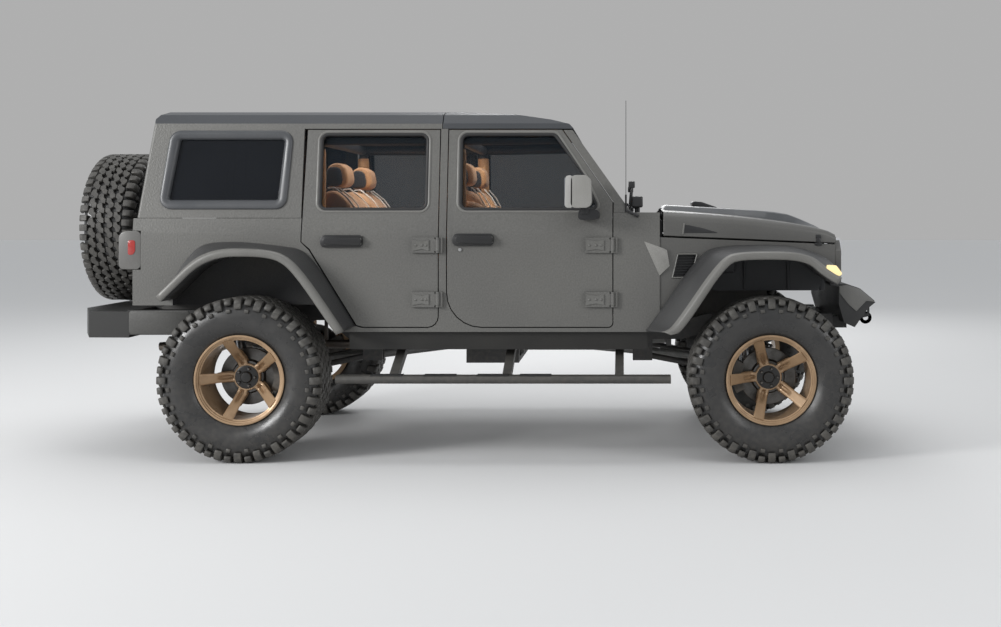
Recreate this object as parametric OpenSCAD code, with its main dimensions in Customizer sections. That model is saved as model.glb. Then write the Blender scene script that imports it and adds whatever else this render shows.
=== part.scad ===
// Lifted four-door off-road 4x4: ladder frame, beam axles, steel tub, removable hard top.
// +X points forward, +Y to the vehicle's left, +Z up. The floor under the tyres is z = 0.

/* [Body] */
// Length of a front door
front_door_length = 955; // [820:5:1160]
// Length of a rear door
rear_door_length = 783; // [660:1:950]
// Half of the body's width at the belt
half_width = 800; // [760:5:960]
// How far each side leans in from the belt to the roof rail
tumblehome = 100; // [60:5:140]
// Height of the belt above the bottom of the body
belt_height = 563; // [470:1:680]
// Height of the side windows' zone, from the belt to the roof rail
cab_height = 610; // [510:5:735]
// Thickness of a door or a body wall
wall = 60; // [45:5:75]
// Gap round each door and lid
gap = 6; // [5:1:9]

/* [Wheels] */
// Outer diameter of a tyre
tyre_diameter = 935; // [780:5:1120]
// Width of a tyre
tyre_width = 330; // [270:5:340]
// Radius of the bead seat inside a tyre
bead_radius = 236; // [220:1:245]
// Distance from the centre line to a tyre's middle
track_half = 820; // [805:5:900]

/* [Running gear] */
// Height of a frame rail
rail_height = 110; // [90:5:120]
// Width of a frame rail
rail_width = 70; // [55:5:75]
// Radius of an axle tube
axle_radius = 42; // [35:1:48]
// Radius of a wheel spindle
spindle_radius = 30; // [25:1:35]
// Radius of a steering pin
king_pin_radius = 20; // [16:1:24]
// Radius of a door or lid hinge pin
hinge_pin_radius = 6; // [5:0.5:7]
// Radial clearance of a pin in its bore
pin_fit = 0.05; // [0.02:0.01:0.1]

/* [Hidden] */
$fn = 48;

// Stations along the vehicle, from the rear axle forward
rear_axle_x = -1273;
rear_door_back = rear_axle_x + 317;
rear_door_front = rear_door_back + rear_door_length;
b_post_width = 53;
front_door_back = rear_door_front + b_post_width;
front_door_front = front_door_back + front_door_length;
cowl_x = front_door_front + 274;
front_axle_x = cowl_x + 626;
tub_back = rear_axle_x - 662;
nose_x = front_axle_x + 415;

// Heights
tyre_radius = tyre_diameter / 2;
axle_z = tyre_radius;
body_z = axle_z + 259.5;
rail_top = body_z + 28;
door_z = body_z + 29;
belt_z = body_z + belt_height;
tub_top = belt_z + 93;
cant_z = belt_z + cab_height;
roof_z = cant_z + 121;
cargo_floor = body_z + 163;
bonnet_z = belt_z - 10;
cowl_top = belt_z + 127;

// Rear wheel house, inside the body
wheel_house_back = rear_axle_x - 1.12 * tyre_radius;
wheel_house_front = rear_axle_x + 1.12 * tyre_radius;
wheel_house_top = axle_z + 1.54 * tyre_radius;

// Widths
inner_width = half_width - wall;
tyre_inner = track_half - tyre_width / 2;
tyre_outer = track_half + tyre_width / 2;
rail_outer = 400;
rail_inner = rail_outer - rail_width;
gate_half = 626;
king_pin_y = min(tyre_inner + 5, track_half - 160);
link_arm = 170;

// Half of the body's width at height z
function skin(z) = half_width - max(0, z - belt_z) * tumblehome / (cab_height + 38);

// Unit vector along v
function unit(v) = v / norm(v);

// Arc of radius r that rounds corner b between the neighbours a and c
function corner(a, b, c, r, steps) =
    let (u = unit(a - b), v = unit(c - b), half = acos(u * v) / 2)
    let (middle = b + unit(u + v) * r / sin(half))
    let (from = b + u * r / tan(half) - middle, to = b + v * r / tan(half) - middle)
    let (start = atan2(from.y, from.x), turn = (atan2(to.y, to.x) - start + 540) % 360 - 180)
    [for (k = [0:steps]) middle + r * [cos(start + turn * k / steps), sin(start + turn * k / steps)]];

// Closed outline of corners [x, y, radius], where radius 0 stays sharp
function rounded(p, steps = 4) =
    let (n = len(p), at = function (i) [p[i % n][0], p[i % n][1]])
    [for (i = [0:n - 1]) each p[i][2] == 0 ? [at(i)] :
        corner(at(i + n - 1), at(i), at(i + 1), p[i][2], steps)];

// Mirrors the left-hand piece to the right when side is -1
module on_side(side) {
    if (side > 0) children();
    else mirror([0, 1, 0]) children();
}

// Both copies of a left-hand piece
module both_sides() {
    children();
    mirror([0, 1, 0]) children();
}

// Plate whose outline is drawn in side view, from y0 to y1
module side_plate(outline, y0, y1) {
    translate([0, y1, 0]) rotate([90, 0, 0]) linear_extrude(y1 - y0) polygon(outline);
}

// Bar whose outline is drawn in end view, from x0 to x1
module end_plate(outline, x0, x1) {
    translate([x0, 0, 0]) rotate([90, 0, 90]) linear_extrude(x1 - x0) polygon(outline);
}

// Box from its lowest corner to its highest
module block(low, high) {
    translate(low) cube(high - low);
}

// Round bar between two points
module rod(a, b, r) {
    d = b - a;
    translate(a) rotate([0, acos(d.z / norm(d)), atan2(d.y, d.x)]) cylinder(h = norm(d), r = r);
}

// Left wall of the cab between two heights, with the body's lean, depth thick and set in by inset
module side_wall(x0, x1, z0, z1, depth = wall, inset = 0) {
    outer = [[skin(z0) - inset, z0], [half_width - inset, belt_z], [skin(z1) - inset, z1]];
    inner = [[skin(z1) - inset - depth, z1], [half_width - inset - depth, belt_z],
        [skin(z0) - inset - depth, z0]];
    end_plate(concat(outer, inner), x0, x1);
}

// Whole end-view outline of the cab, set in by inset
function cab_section(inset) =
    let (half = [[half_width - inset, body_z], [half_width - inset, belt_z],
        [skin(cant_z + 38) - inset, cant_z + 38], [skin(cant_z) - 48 - inset, roof_z - 30 - inset],
        [560 - inset, roof_z - 6 - inset], [0, roof_z - inset]])
    concat(half, [for (i = [4:-1:0]) [-half[i].x, half[i].y]]);

// ---- Frame ----

// Side view of a frame rail, level under the doors and raised over the rear axle
rail_line = [[tub_back + 15, cargo_floor - 20], [rear_axle_x + 350, cargo_floor - 20],
    [wheel_house_front - 24, rail_top], [front_axle_x - 480, rail_top],
    [front_axle_x - 330, rail_top + 45], [nose_x + 25, rail_top + 45]];

module frame_rail() {
    under = [for (i = [len(rail_line) - 1:-1:0]) rail_line[i] - [0, rail_height]];
    side_plate(concat(rail_line, under), rail_inner, rail_outer);
}

// Bracket that hangs a control arm under a rail
module link_bracket(x, z) {
    block([x - 60, rail_inner, z - 35], [x + 60, rail_inner + 15, rail_top - rail_height + 5]);
    block([x - 60, rail_outer - 15, z - 35], [x + 60, rail_outer, rail_top - rail_height + 5]);
}

// Upper seat of a coil spring and the arm that carries it
module spring_seat(x, z) {
    translate([x, spring_y, z]) cylinder(h = 14, r = 78);
    block([x - 60, rail_inner + 20, z], [x + 60, spring_y, z + 14]);
}

module frame() {
    color("#1b1c1e") union() {
        both_sides() {
            frame_rail();
            link_bracket(front_axle_x - 720, 550 - 467 + axle_z);
            link_bracket(rear_axle_x + 640, 550 - 467 + axle_z);
            spring_seat(front_axle_x, rail_top + 20);
            spring_seat(rear_axle_x, cargo_floor - 50);
            block([-60, rail_inner, rail_top - 255], [260, rail_outer, rail_top - rail_height + 5]);
        }
        block([-60, -rail_inner - 5, rail_top - 255], [260, rail_inner + 5, rail_top - 225]);
        block([tub_back + 25, -rail_inner - 5, cargo_floor - 120],
            [tub_back + 85, rail_inner + 5, cargo_floor - 30]);
        block([rear_axle_x + 300, -rail_inner - 5, cargo_floor - 120],
            [rear_axle_x + 350, rail_inner + 5, cargo_floor - 40]);
        block([front_axle_x - 235, -rail_inner - 5, rail_top - 62],
            [front_axle_x - 155, rail_inner + 5, rail_top - 2]);
        block([nose_x - 50, -rail_inner - 5, rail_top - 55], [nose_x + 10, rail_inner + 5, rail_top + 40]);
    }
}

// ---- Body tub ----

toe_x = cowl_x - 100;

module wheel_house() {
    skin_t = 8;
    inner = tyre_inner - 60;
    difference() {
        block([wheel_house_back, inner, cargo_floor - 20], [wheel_house_front, inner_width, wheel_house_top]);
        block([wheel_house_back + skin_t, inner + skin_t, body_z],
            [wheel_house_front - skin_t, inner_width + 1, wheel_house_top - skin_t]);
    }
}

module floor_pan() {
    floor_line = [[tub_back + 58, cargo_floor], [wheel_house_front + 10, cargo_floor],
        [wheel_house_front + 10, rail_top + 20], [toe_x, rail_top + 20], [cowl_x - 36, rail_top + 150],
        [cowl_x - 36, rail_top + 120], [toe_x, rail_top], [wheel_house_front - 12, rail_top],
        [wheel_house_front - 12, cargo_floor - 20], [tub_back + 58, cargo_floor - 20]];
    color("#26282a") union() {
        difference() {
            side_plate(floor_line, -inner_width, inner_width);
            both_sides() block([wheel_house_back, tyre_inner - 58, body_z],
                [wheel_house_front + 1, inner_width + 1, cargo_floor + 1]);
            both_sides() block([wheel_house_front, tyre_inner - 58, cargo_floor - 21],
                [wheel_house_front + 11, inner_width + 1, cargo_floor + 1]);
        }
        both_sides() wheel_house();
    }
}

// Rear wheel arch, in tyre radii from the wheel's centre: the flare's outer and inner edges
flare_out_rear = [[-1.03, 0.96], [-0.73, 1.49], [-0.53, 1.65], [-0.13, 1.67], [0.37, 1.62],
    [0.76, 1.56], [1.33, 0.63], [1.19, 0.555]];
flare_in_rear = [[-0.92, 0.96], [-0.37, 1.5], [0.4, 1.5], [0.65, 1.345], [1.19, 0.555]];
// Front wheel arch, in the same way
flare_out_front = [[-1.51, 0.565], [-0.82, 1.545], [-0.54, 1.615], [0.13, 1.627], [0.47, 1.58],
    [0.77, 1.455], [0.9, 1.22]];
flare_in_front = [[0.79, 1.165], [0.586, 1.293], [0.47, 1.406], [0.24, 1.464], [-0.33, 1.464],
    [-0.543, 1.41], [-1.09, 0.58], [-1.22, 0.555]];

// Arch points of a wheel at x, moved away from the wheel by grow
function arch(points, x, grow = 0) = [for (p = points) [x, axle_z] + p * tyre_radius + unit(p) * grow];

// Lower corners of the rear door that follow the arch, from back to front
rear_door_arch = arch([flare_out_rear[5], flare_out_rear[6]], rear_axle_x, gap + 4);

function rear_door_outline(grow) = rounded([
    [rear_door_back - grow - 4, rear_door_arch[0].y + 40, 0],
    [rear_door_arch[0].x - grow, rear_door_arch[0].y - grow, 0],
    [rear_door_arch[1].x - grow, rear_door_arch[1].y - grow, 0],
    [rear_door_arch[1].x + 40 - grow, door_z - grow, 0],
    [rear_door_front + grow, door_z - grow, 60 + grow], [rear_door_front + grow, cant_z + grow, 0],
    [rear_door_back + 10 - grow, cant_z + grow, 0]]);

windscreen_foot = [cowl_x - 164, cowl_top];
windscreen_head = [front_axle_x - 1134, cant_z];
door_slant = windscreen_head - [windscreen_foot.x - windscreen_head.x, 0] * 0.17 - [2, 0];

function front_door_outline(grow) = rounded([
    [front_door_back - grow, door_z - grow, 200 + grow], [front_door_front + grow, door_z - grow, 25 + grow],
    [front_door_front + grow, cowl_top + 61, 0], [door_slant.x + grow, cant_z + grow, 0],
    [front_door_back - grow, cant_z + grow, 0]], 6);

// Outline of one side of the tub: cowl side, sill, B post and quarter panel round the arch
module tub_outline() {
    difference() {
        polygon(concat([[cowl_x, body_z], [cowl_x, cowl_top], [front_door_front + gap, cowl_top],
            [front_door_front + gap, door_z + 100], [front_door_back + 80, door_z + 100],
            [front_door_back - gap, door_z + 235],
            [front_door_back - gap, cant_z + gap], [rear_door_front + gap, cant_z + gap],
            [rear_door_front + gap, tub_top], [tub_back, tub_top], [tub_back, cargo_floor - 10],
            [rear_axle_x - 0.92 * tyre_radius, cargo_floor - 10]],
            arch(flare_in_rear, rear_axle_x), [[rear_axle_x + 1.19 * tyre_radius, body_z]]));
        polygon(front_door_outline(gap));
        polygon(rear_door_outline(gap));
    }
}

// Fixed leaf of an upright hinge with its two ears and pin, leaf running from the pin at x
module fixed_leaf(x, y, z, leaf, low = 0) {
    height = 88;
    for (dz = [0, height - 9]) translate([x, y, z + dz]) cylinder(h = 9, r = 2 * hinge_pin_radius);
    for (dz = [0, height - 9]) block([x, y - 15, z + dz], [x + 14, y + 2, z + dz + 9]);
    translate([x, y, z]) cylinder(h = height, r = hinge_pin_radius);
    block([x + 14, y - 15 - low, z], [x + leaf, y + 2, z + height]);
}

// Moving leaf with its barrel, leaf running back from the pin at x
module moving_leaf(x, y, z, leaf) {
    height = 88;
    difference() {
        union() {
            translate([x, y, z + 10]) cylinder(h = height - 20, r = 2 * hinge_pin_radius);
            block([x - 40, y - 15, z + 10], [x, y + 2, z + height - 10]);
            block([x - leaf, y - 15, z], [x - 20, y + 2, z + height]);
        }
        translate([x, y, z]) cylinder(h = height, r = hinge_pin_radius + pin_fit);
    }
}

hinge_y = half_width + 15;
front_hinge_x = front_door_front + 3;
rear_hinge_x = rear_door_front + 3;
door_hinge_z = [belt_z - 419, belt_z - 106];
gate_pin = [tub_back - 18, -gate_half - 16];
gate_hinge_z = [belt_z - 390, belt_z - 3];
lamp_low = [tub_back - 81, 670, belt_z - 202];
lamp_high = [tub_back + 47, half_width, belt_z + 20];

module tub_side() {
    difference() {
        union() {
            intersection() {
                side_plate([[tub_back, body_z - 1], [cowl_x, body_z - 1], [cowl_x, cant_z + gap],
                    [tub_back, cant_z + gap]], 0, half_width + 10);
                translate([0, half_width + 10, 0]) rotate([90, 0, 0]) linear_extrude(300) tub_outline();
                side_wall(tub_back, cowl_x, body_z, cant_z + gap);
            }
            block([tub_back, gate_half + gap, cargo_floor - 10], [tub_back + 55, inner_width + 5, tub_top]);
        }
        block(lamp_low - [0, 2, 2], lamp_high + [0, 1, 2]);
    }
    for (z = door_hinge_z) fixed_leaf(front_hinge_x, hinge_y, z, 26);
    for (z = door_hinge_z) fixed_leaf(rear_hinge_x, hinge_y, z, 26);
}

module body_sides() {
    color("#4a4a4c") union() {
        both_sides() tub_side();
        for (z = gate_hinge_z) {
            translate([gate_pin.x, gate_pin.y, z]) cylinder(h = 60, r = hinge_pin_radius);
            for (dz = [0, 51]) {
                translate([gate_pin.x, gate_pin.y, z + dz]) cylinder(h = 9, r = 2 * hinge_pin_radius);
                block([gate_pin.x, gate_pin.y - 10, z + dz], [tub_back + 1, gate_pin.y + 8, z + dz + 9]);
            }
        }
    }
}

bonnet_pin = [cowl_x + 3, cowl_top - 16];

module cowl() {
    color("#3a3b3d") union() {
        difference() {
            intersection() {
                union() {
                    block([cowl_x - 36, -half_width, rail_top + 120], [cowl_x - 16, half_width, cowl_top - 16]);
                    block([cowl_x - 230, -half_width, cowl_top - 17], [cowl_x, half_width, cowl_top]);
                }
                end_plate(cab_section(wall), cowl_x - 240, cowl_x + 1);
            }
            both_sides() block([bonnet_pin.x - 26, 532, cowl_top - 40], [cowl_x + 1, 578, cowl_top + 1]);
        }
        both_sides() {
            block([cowl_x - 30, 520, cowl_top - 60], [bonnet_pin.x, 530, bonnet_pin.y + 4]);
            translate([bonnet_pin.x, 525, bonnet_pin.y]) rotate([-90, 0, 0])
                cylinder(h = 45, r = hinge_pin_radius);
        }
    }
}

// ---- Windscreen, roof and hard top ----

// Side-view point on the windscreen's face at height z, set back by d
function screen_at(z, d) =
    let (t = (z - windscreen_foot.y) / (windscreen_head.y - windscreen_foot.y))
    [windscreen_foot.x + t * (windscreen_head.x - windscreen_foot.x) - d, z];

screen_low = cowl_top + 48;
screen_high = cant_z - 40;

module screen_opening(grow) {
    low = screen_low - grow;
    high = screen_high + grow;
    end_plate([[skin(low) - 78 + grow, low], [skin(high) - 78 + grow, high],
        [-skin(high) + 78 - grow, high], [-skin(low) + 78 - grow, low]], 0, cowl_x);
}

module windscreen_frame() {
    frame_line = [windscreen_foot, windscreen_head, [door_slant.x + gap, cant_z],
        [front_door_front + gap, cowl_top + 61], [front_door_front + gap, cowl_top]];
    color("#4a4a4c") difference() {
        intersection() {
            side_plate(frame_line, -half_width, half_width);
            end_plate(cab_section(0), 0, cowl_x);
        }
        screen_opening(0);
        both_sides() side_plate([[front_door_front - 500, cowl_top - 1], [cowl_x - 225, cowl_top - 1],
            screen_at(screen_low, 62) + [40, 0], screen_at(cant_z - 20, 62), [0, cant_z - 20]],
            -1, skin(cant_z) - 80);
    }
}

module windscreen() {
    color("#a9b4b8") intersection() {
        side_plate([screen_at(screen_low, 14), screen_at(screen_high, 14), screen_at(screen_high, 22),
            screen_at(screen_low, 22)], -half_width, half_width);
        screen_opening(-0.3);
    }
}

roof_split = rear_door_front + 14;
roof_line_front = [[roof_split, roof_z], [roof_split + 420, roof_z - 25], [windscreen_head.x - 128, roof_z - 57],
    [windscreen_head.x - 20, roof_z - 84], [windscreen_head.x + 3, roof_z - 108]];
roof_line_rear = [[tub_back + 134, roof_z], [tub_back + 89, roof_z - 56], [tub_back + 17, tub_top + 2]];

module front_roof() {
    low = cant_z + gap;
    color("#33363b") difference() {
        intersection() {
            side_plate(concat([[roof_split + 2, low]], roof_line_front, [[windscreen_head.x + 6, low]]),
                -half_width, half_width);
            end_plate(cab_section(0), roof_split + 2, cowl_x);
        }
        intersection() {
            side_plate([[roof_split, low - 1], [roof_split, roof_z - 32], [roof_split + 420, roof_z - 57],
                [windscreen_head.x - 128, roof_z - 88], [windscreen_head.x - 90, low - 1]],
                -half_width, half_width);
            end_plate(cab_section(38), roof_split - 1, cowl_x);
        }
    }
}

quarter_low = belt_z + 158;
quarter_high = cant_z - 17;
quarter_back = tub_back + 152;
quarter_front = rear_door_back - 111;

function quarter_outline(grow) = rounded([
    [quarter_back - grow, quarter_low - grow, 55], [quarter_front + grow, quarter_low - grow, 55],
    [quarter_front + 27 + grow, quarter_high + grow, 55], [quarter_back + 50 - grow, quarter_high + grow, 55]]);

// End view of the rear window
function rear_window(grow) = rounded([
    [-590 - grow, quarter_low - grow, 60], [590 + grow, quarter_low - grow, 60],
    [540 + grow, quarter_high - 10 + grow, 60], [-540 - grow, quarter_high - 10 + grow, 60]]);

module hard_top() {
    low = cant_z + gap;
    inset_low = 45;
    color("#3d3d40") difference() {
        intersection() {
            side_plate(concat([[roof_split - 2, low], [roof_split - 2, roof_z]], roof_line_rear,
                [[rear_door_back - 10, tub_top + 2], [rear_door_back - gap - 4, low]]),
                -half_width, half_width);
            end_plate(cab_section(0), tub_back, roof_split);
        }
        intersection() {
            side_plate([[roof_split, low - 900], [roof_split, roof_z - 32], [tub_back + 165, roof_z - 32],
                [tub_back + 145, roof_z - 70], [tub_back + 17 + inset_low, tub_top]],
                -half_width, half_width);
            end_plate(concat([[-skin(tub_top) + 50, body_z], [skin(tub_top) - 50, body_z]],
                [[skin(tub_top) - 50, tub_top], [skin(cant_z) - 52, cant_z + 38], [600, roof_z - 34],
                [-600, roof_z - 34], [-skin(cant_z) + 52, cant_z + 38], [-skin(tub_top) + 50, tub_top]]),
                tub_back - 1, roof_split + 1);
        }
        side_plate(quarter_outline(0), -half_width, half_width);
        end_plate(rear_window(0), tub_back - 10, quarter_back);
    }
}

module cargo_glass() {
    color("#2b2e30") {
        both_sides() intersection() {
            side_plate(quarter_outline(-0.3), 300, half_width);
            side_wall(tub_back, roof_split, tub_top, cant_z, 6, 22);
        }
        intersection() {
            end_plate(rear_window(-0.3), tub_back - 10, quarter_back);
            side_plate([[tub_back + 35, tub_top], [tub_back + 42, tub_top], [tub_back + 106, roof_z - 56],
                [tub_back + 99, roof_z - 56]], -half_width, half_width);
        }
    }
}

// ---- Front end ----

nose_half = 640;
// Plan view of the engine bay's side, from the cowl to the nose, set in by inset
bay_back = cowl_x + 0.3;
function bay_plan(inset) = [[bay_back, half_width - 5 - inset], [nose_x, nose_half - inset]];

// Upright prism over the left half of the engine bay, out to its side set in by inset
module bay_prism(inset, z0, z1) {
    translate([0, 0, z0]) linear_extrude(z1 - z0)
        polygon(concat([[bay_back, -1]], bay_plan(inset), [[nose_x, -1]]));
}

vent_low = [front_axle_x - 555, axle_z + 568];
vent_size = [148, 144];

module fender() {
    bottom = [[bay_back, body_z + 6], [front_axle_x - 1.22 * tyre_radius, axle_z + 0.555 * tyre_radius]];
    arch_line = [for (i = [6:-1:0]) arch(flare_in_front, front_axle_x)[i]];
    vent = [vent_low, vent_low + [vent_size.x - 32, 0], vent_low + vent_size, vent_low + [32, vent_size.y]];
    difference() {
        intersection() {
            side_plate(concat(bottom, arch_line, [[nose_x, axle_z + 1.16 * tyre_radius], [nose_x, bonnet_z - 45 - gap],
                [bay_back, bonnet_z - gap]]), 0, half_width);
            difference() {
                bay_prism(0, body_z - 10, belt_z);
                bay_prism(40, body_z - 11, belt_z + 1);
            }
        }
        side_plate(vent, half_width - 105, half_width + 1);
    }
}

module fenders() {
    color("#48484a") both_sides() fender();
}

// Band between two side-view edges, out to the tyre's outer face
module flare_band(outer, inner) {
    side_plate(concat(outer, inner), 500, tyre_outer);
}

module wheel_flares() {
    color("#2c2d2f") both_sides() {
        difference() {
            flare_band(arch(flare_out_front, front_axle_x), arch(flare_in_front, front_axle_x));
            translate([0, 0, body_z - 50]) linear_extrude(800) polygon([[cowl_x - 600, -1],
                [cowl_x - 600, half_width + 0.3], [cowl_x + 2 * gap, half_width + 0.3],
                bay_plan(-0.3)[1], [nose_x + 60, nose_half + 0.3], [nose_x + 60, -1]]);
        }
        rear_in = arch(flare_in_rear, rear_axle_x);
        difference() {
            flare_band(arch(flare_out_rear, rear_axle_x), [for (i = [4:-1:0]) rear_in[i]]);
            block([tub_back, 0, body_z - 50], [rear_door_front, half_width, belt_z]);
        }
    }
}

// Bonnet's top line at its sides, and over the raised centre
bonnet_back = cowl_x + 3 * gap + 3;
bonnet_side_line = [[bonnet_back, cowl_top + 8], [front_axle_x - 382, belt_z + 121],
    [front_axle_x - 28, belt_z + 85], [front_axle_x + 149, belt_z + 67], [front_axle_x + 367, belt_z + 22],
    [nose_x, belt_z + 12]];
bulge_line = [[cowl_x + 54, cowl_top + 46], [front_axle_x, belt_z + 139], [front_axle_x + 182, belt_z + 121],
    [front_axle_x + 310, belt_z + 66], [nose_x - 5, belt_z + 16]];

module bonnet_shell(inset, bottom) {
    intersection() {
        side_plate(concat([for (p = bonnet_side_line) p - [0, inset]],
            [[nose_x, bottom - 45], [bonnet_back, bottom]]), -half_width, half_width);
        both_sides() bay_prism(inset, body_z, roof_z);
        end_plate([[-half_width + inset, bottom - 50], [half_width - inset, bottom - 50],
            [half_width - inset, belt_z + 55], [nose_half - inset, belt_z + 150 - inset],
            [-nose_half + inset, belt_z + 150 - inset], [-half_width + inset, belt_z + 55]],
            cowl_x, nose_x);
    }
    side_plate(concat([for (p = bulge_line) p - [0, inset]],
        [[nose_x - 5, belt_z - 2 * inset], [cowl_x + 54 + inset, belt_z + 90 - 2 * inset]]),
        -330 + inset, 330 - inset);
}

module bonnet() {
    scoop = [[front_axle_x - 401, belt_z + 146], [front_axle_x - 401, belt_z + 197],
        [front_axle_x - 380, belt_z + 200], [front_axle_x - 236, belt_z + 146]];
    color("#3a3d42") difference() {
        union() {
            difference() {
                bonnet_shell(0, bonnet_z);
                bonnet_shell(24, bonnet_z - 60);
            }
            side_plate(scoop, -120, 120);
            both_sides() {
                block([bonnet_pin.x - 11, 540, bonnet_pin.y - 11], [bonnet_pin.x + 60, 560, bonnet_pin.y + 11]);
            }
        }
        for (side = [-1, 1]) translate([bonnet_pin.x, side * 550, bonnet_pin.y]) rotate([90, 0, 0])
            cylinder(h = 30, r = hinge_pin_radius + pin_fit, center = true);
    }
}

lamp_y = 500;
lamp_z = belt_z - 120;
lamp_radius = 95;

module grille() {
    low = body_z + 280;
    high = belt_z - 38;
    slot_count = 6;
    slot_pitch = 36;
    color("#46474a") difference() {
        end_plate([[-nose_half, low], [nose_half, low], [nose_half, high - 60], [nose_half - 60, high],
            [-nose_half + 60, high], [-nose_half, high - 60]], nose_x, nose_x + 35);
        for (side = [-1, 1]) translate([nose_x, side * lamp_y, lamp_z]) rotate([0, 90, 0])
            cylinder(h = 60, r = lamp_radius);
        for (i = [0:slot_count - 1]) block([nose_x - 1, -350, low + 16 + i * slot_pitch],
            [nose_x + 60, 350, low + 40 + i * slot_pitch]);
    }
}

module headlamps() {
    color("#c8ccce") for (side = [-1, 1]) translate([nose_x + 2, side * lamp_y, lamp_z]) rotate([0, 90, 0]) {
        cylinder(h = 44, r = lamp_radius - 0.3);
    }
}

bumper_half = 540;
shackle_x = nose_x + 236;
shackle_z = body_z + 83;
shackle_radius = 12.5;

module front_bumper() {
    side = [[nose_x - 13, body_z + 275], [nose_x + 82, body_z + 259], [nose_x + 162, body_z + 233],
        [nose_x + 258, body_z + 153], [nose_x + 215, body_z + 118], [nose_x + 133, body_z + 3],
        [nose_x + 70, body_z + 30], [nose_x + 38, body_z + 140], [nose_x + 38, body_z + 245],
        [nose_x - 13, body_z + 255]];
    ear = [[nose_x + 150, body_z + 30], [nose_x + 150, body_z + 130], [shackle_x + 22, body_z + 118],
        [shackle_x + 22, body_z + 55]];
    color("#2a2c2e") difference() {
        union() {
            side_plate(side, -bumper_half, bumper_half);
            both_sides() {
                side_plate(ear, 335, 360);
                block([nose_x + 25, rail_inner, rail_top - 40], [nose_x + 110, rail_outer, rail_top + 30]);
            }
        }
        for (y = [-347.5, 347.5]) translate([shackle_x, y, shackle_z]) rotate([90, 0, 0])
            cylinder(h = 60, r = shackle_radius, center = true);
    }
}

hitch_half = 25.4;
hitch_z = body_z + 30;

module rear_bumper() {
    back = tub_back - 385;
    top = body_z + 118;
    low = body_z - 33;
    plan = [[back, -520], [back, 520], [back + 130, half_width - 10], [tub_back - 20, half_width],
        [tub_back - 20, -half_width], [back + 130, 10 - half_width]];
    wing_top = min(top + 8, axle_z + 0.96 * tyre_radius - 20);
    wing = [[tub_back - 30, body_z - 17], [tub_back + 223, body_z - 17], [tub_back + 365, wing_top],
        [tub_back - 30, wing_top]];
    color("#232527") difference() {
        union() {
            translate([0, 0, low]) linear_extrude(top - low) polygon(plan);
            both_sides() {
                side_plate(wing, inner_width, half_width);
                block([tub_back - 30, rail_inner, low + 30], [tub_back + 15, rail_outer, top]);
            }
        }
        block([back + 40, -560, low - 1], [tub_back - 40, 560, top - 12]);
        block([back - 1, -hitch_half, hitch_z - hitch_half], [back + 41, hitch_half, hitch_z + hitch_half]);
        both_sides() block([back + 150, 560, low - 1], [tub_back - 40, half_width - 20, top - 12]);
    }
    hitch_wall = 7;
    color("#232527") difference() {
        block([back + 40, -hitch_half - hitch_wall, hitch_z - hitch_half - hitch_wall],
            [tub_back - 40, hitch_half + hitch_wall, hitch_z + hitch_half + hitch_wall]);
        block([back + 39, -hitch_half, hitch_z - hitch_half], [tub_back - 39, hitch_half, hitch_z + hitch_half]);
        translate([back + 110, 0, hitch_z]) rotate([90, 0, 0]) cylinder(h = 100, r = 8, center = true);
    }
}

step_z = [axle_z - 18, axle_z + 28];
step_y = [885, 975];
step_x = [rear_axle_x + 548, front_axle_x - 568];
step_bracket_x = [rear_axle_x + 864, rear_axle_x + 1508, front_axle_x - 859];

module side_step() {
    union() {
        end_plate(rounded([[step_y[0], step_z[0], 22], [step_y[1], step_z[0], 22],
            [step_y[1], step_z[1], 22], [step_y[0], step_z[1], 22]]), step_x[0], step_x[1]);
        for (x = step_bracket_x) end_plate([[rail_outer, rail_top - 90], [rail_outer, rail_top - 30],
            [step_y[0] + 20, step_z[1] - 4], [step_y[1] - 30, step_z[1] - 4], [step_y[1] - 30, step_z[0] + 6],
            [step_y[0] - 10, step_z[0] + 6]], x - 25, x + 25);
        block([rear_axle_x + 583, inner_width - 5, body_z - 104], [cowl_x - 70, inner_width + 25, body_z]);
    }
}

module side_steps() {
    color("#1c1a19") both_sides() side_step();
}

module tail_lamps() {
    color("#a01818") both_sides()
        end_plate(rounded([[lamp_low.y, lamp_low.z, 25], [lamp_high.y, lamp_low.z, 25],
            [lamp_high.y, lamp_high.z, 25], [lamp_low.y, lamp_high.z, 25]]), lamp_low.x, lamp_high.x);
}

// ---- Axles and steering ----

king_gap = 95;
ear_thick = 26;

// Fork at the end of the front axle that holds the knuckle's pins
module axle_fork() {
    difference() {
        union() {
            block([-32, 585, -king_gap - ear_thick], [32, king_pin_y - 50, king_gap + ear_thick]);
            for (z = [-king_gap - ear_thick, king_gap]) {
                translate([0, king_pin_y, z]) cylinder(h = ear_thick, r = 38);
                block([-32, king_pin_y - 55, z], [32, king_pin_y, z + ear_thick]);
            }
        }
        translate([0, king_pin_y, 0]) cylinder(h = 400, r = king_pin_radius + pin_fit, center = true);
    }
}

// Differential housing with its round cover, facing direction along x
module differential(direction) {
    rotate([90, 0, 0]) cylinder(h = 190, r = 125, center = true);
    translate([direction * 60, 0, 0]) rotate([0, 90, 0]) cylinder(h = 100, r = 112, center = true);
    translate([-direction * 130, 0, 0]) rotate([0, 90, 0]) cylinder(h = 100, r = 48, center = true);
}

spring_y = 480;
spring_perch = axle_z + 60;
link_reach = 75;
link_y = (rail_inner + rail_outer) / 2;
link_bush = 27;
shock_reach = 110;
front_diff_y = 180;

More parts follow.
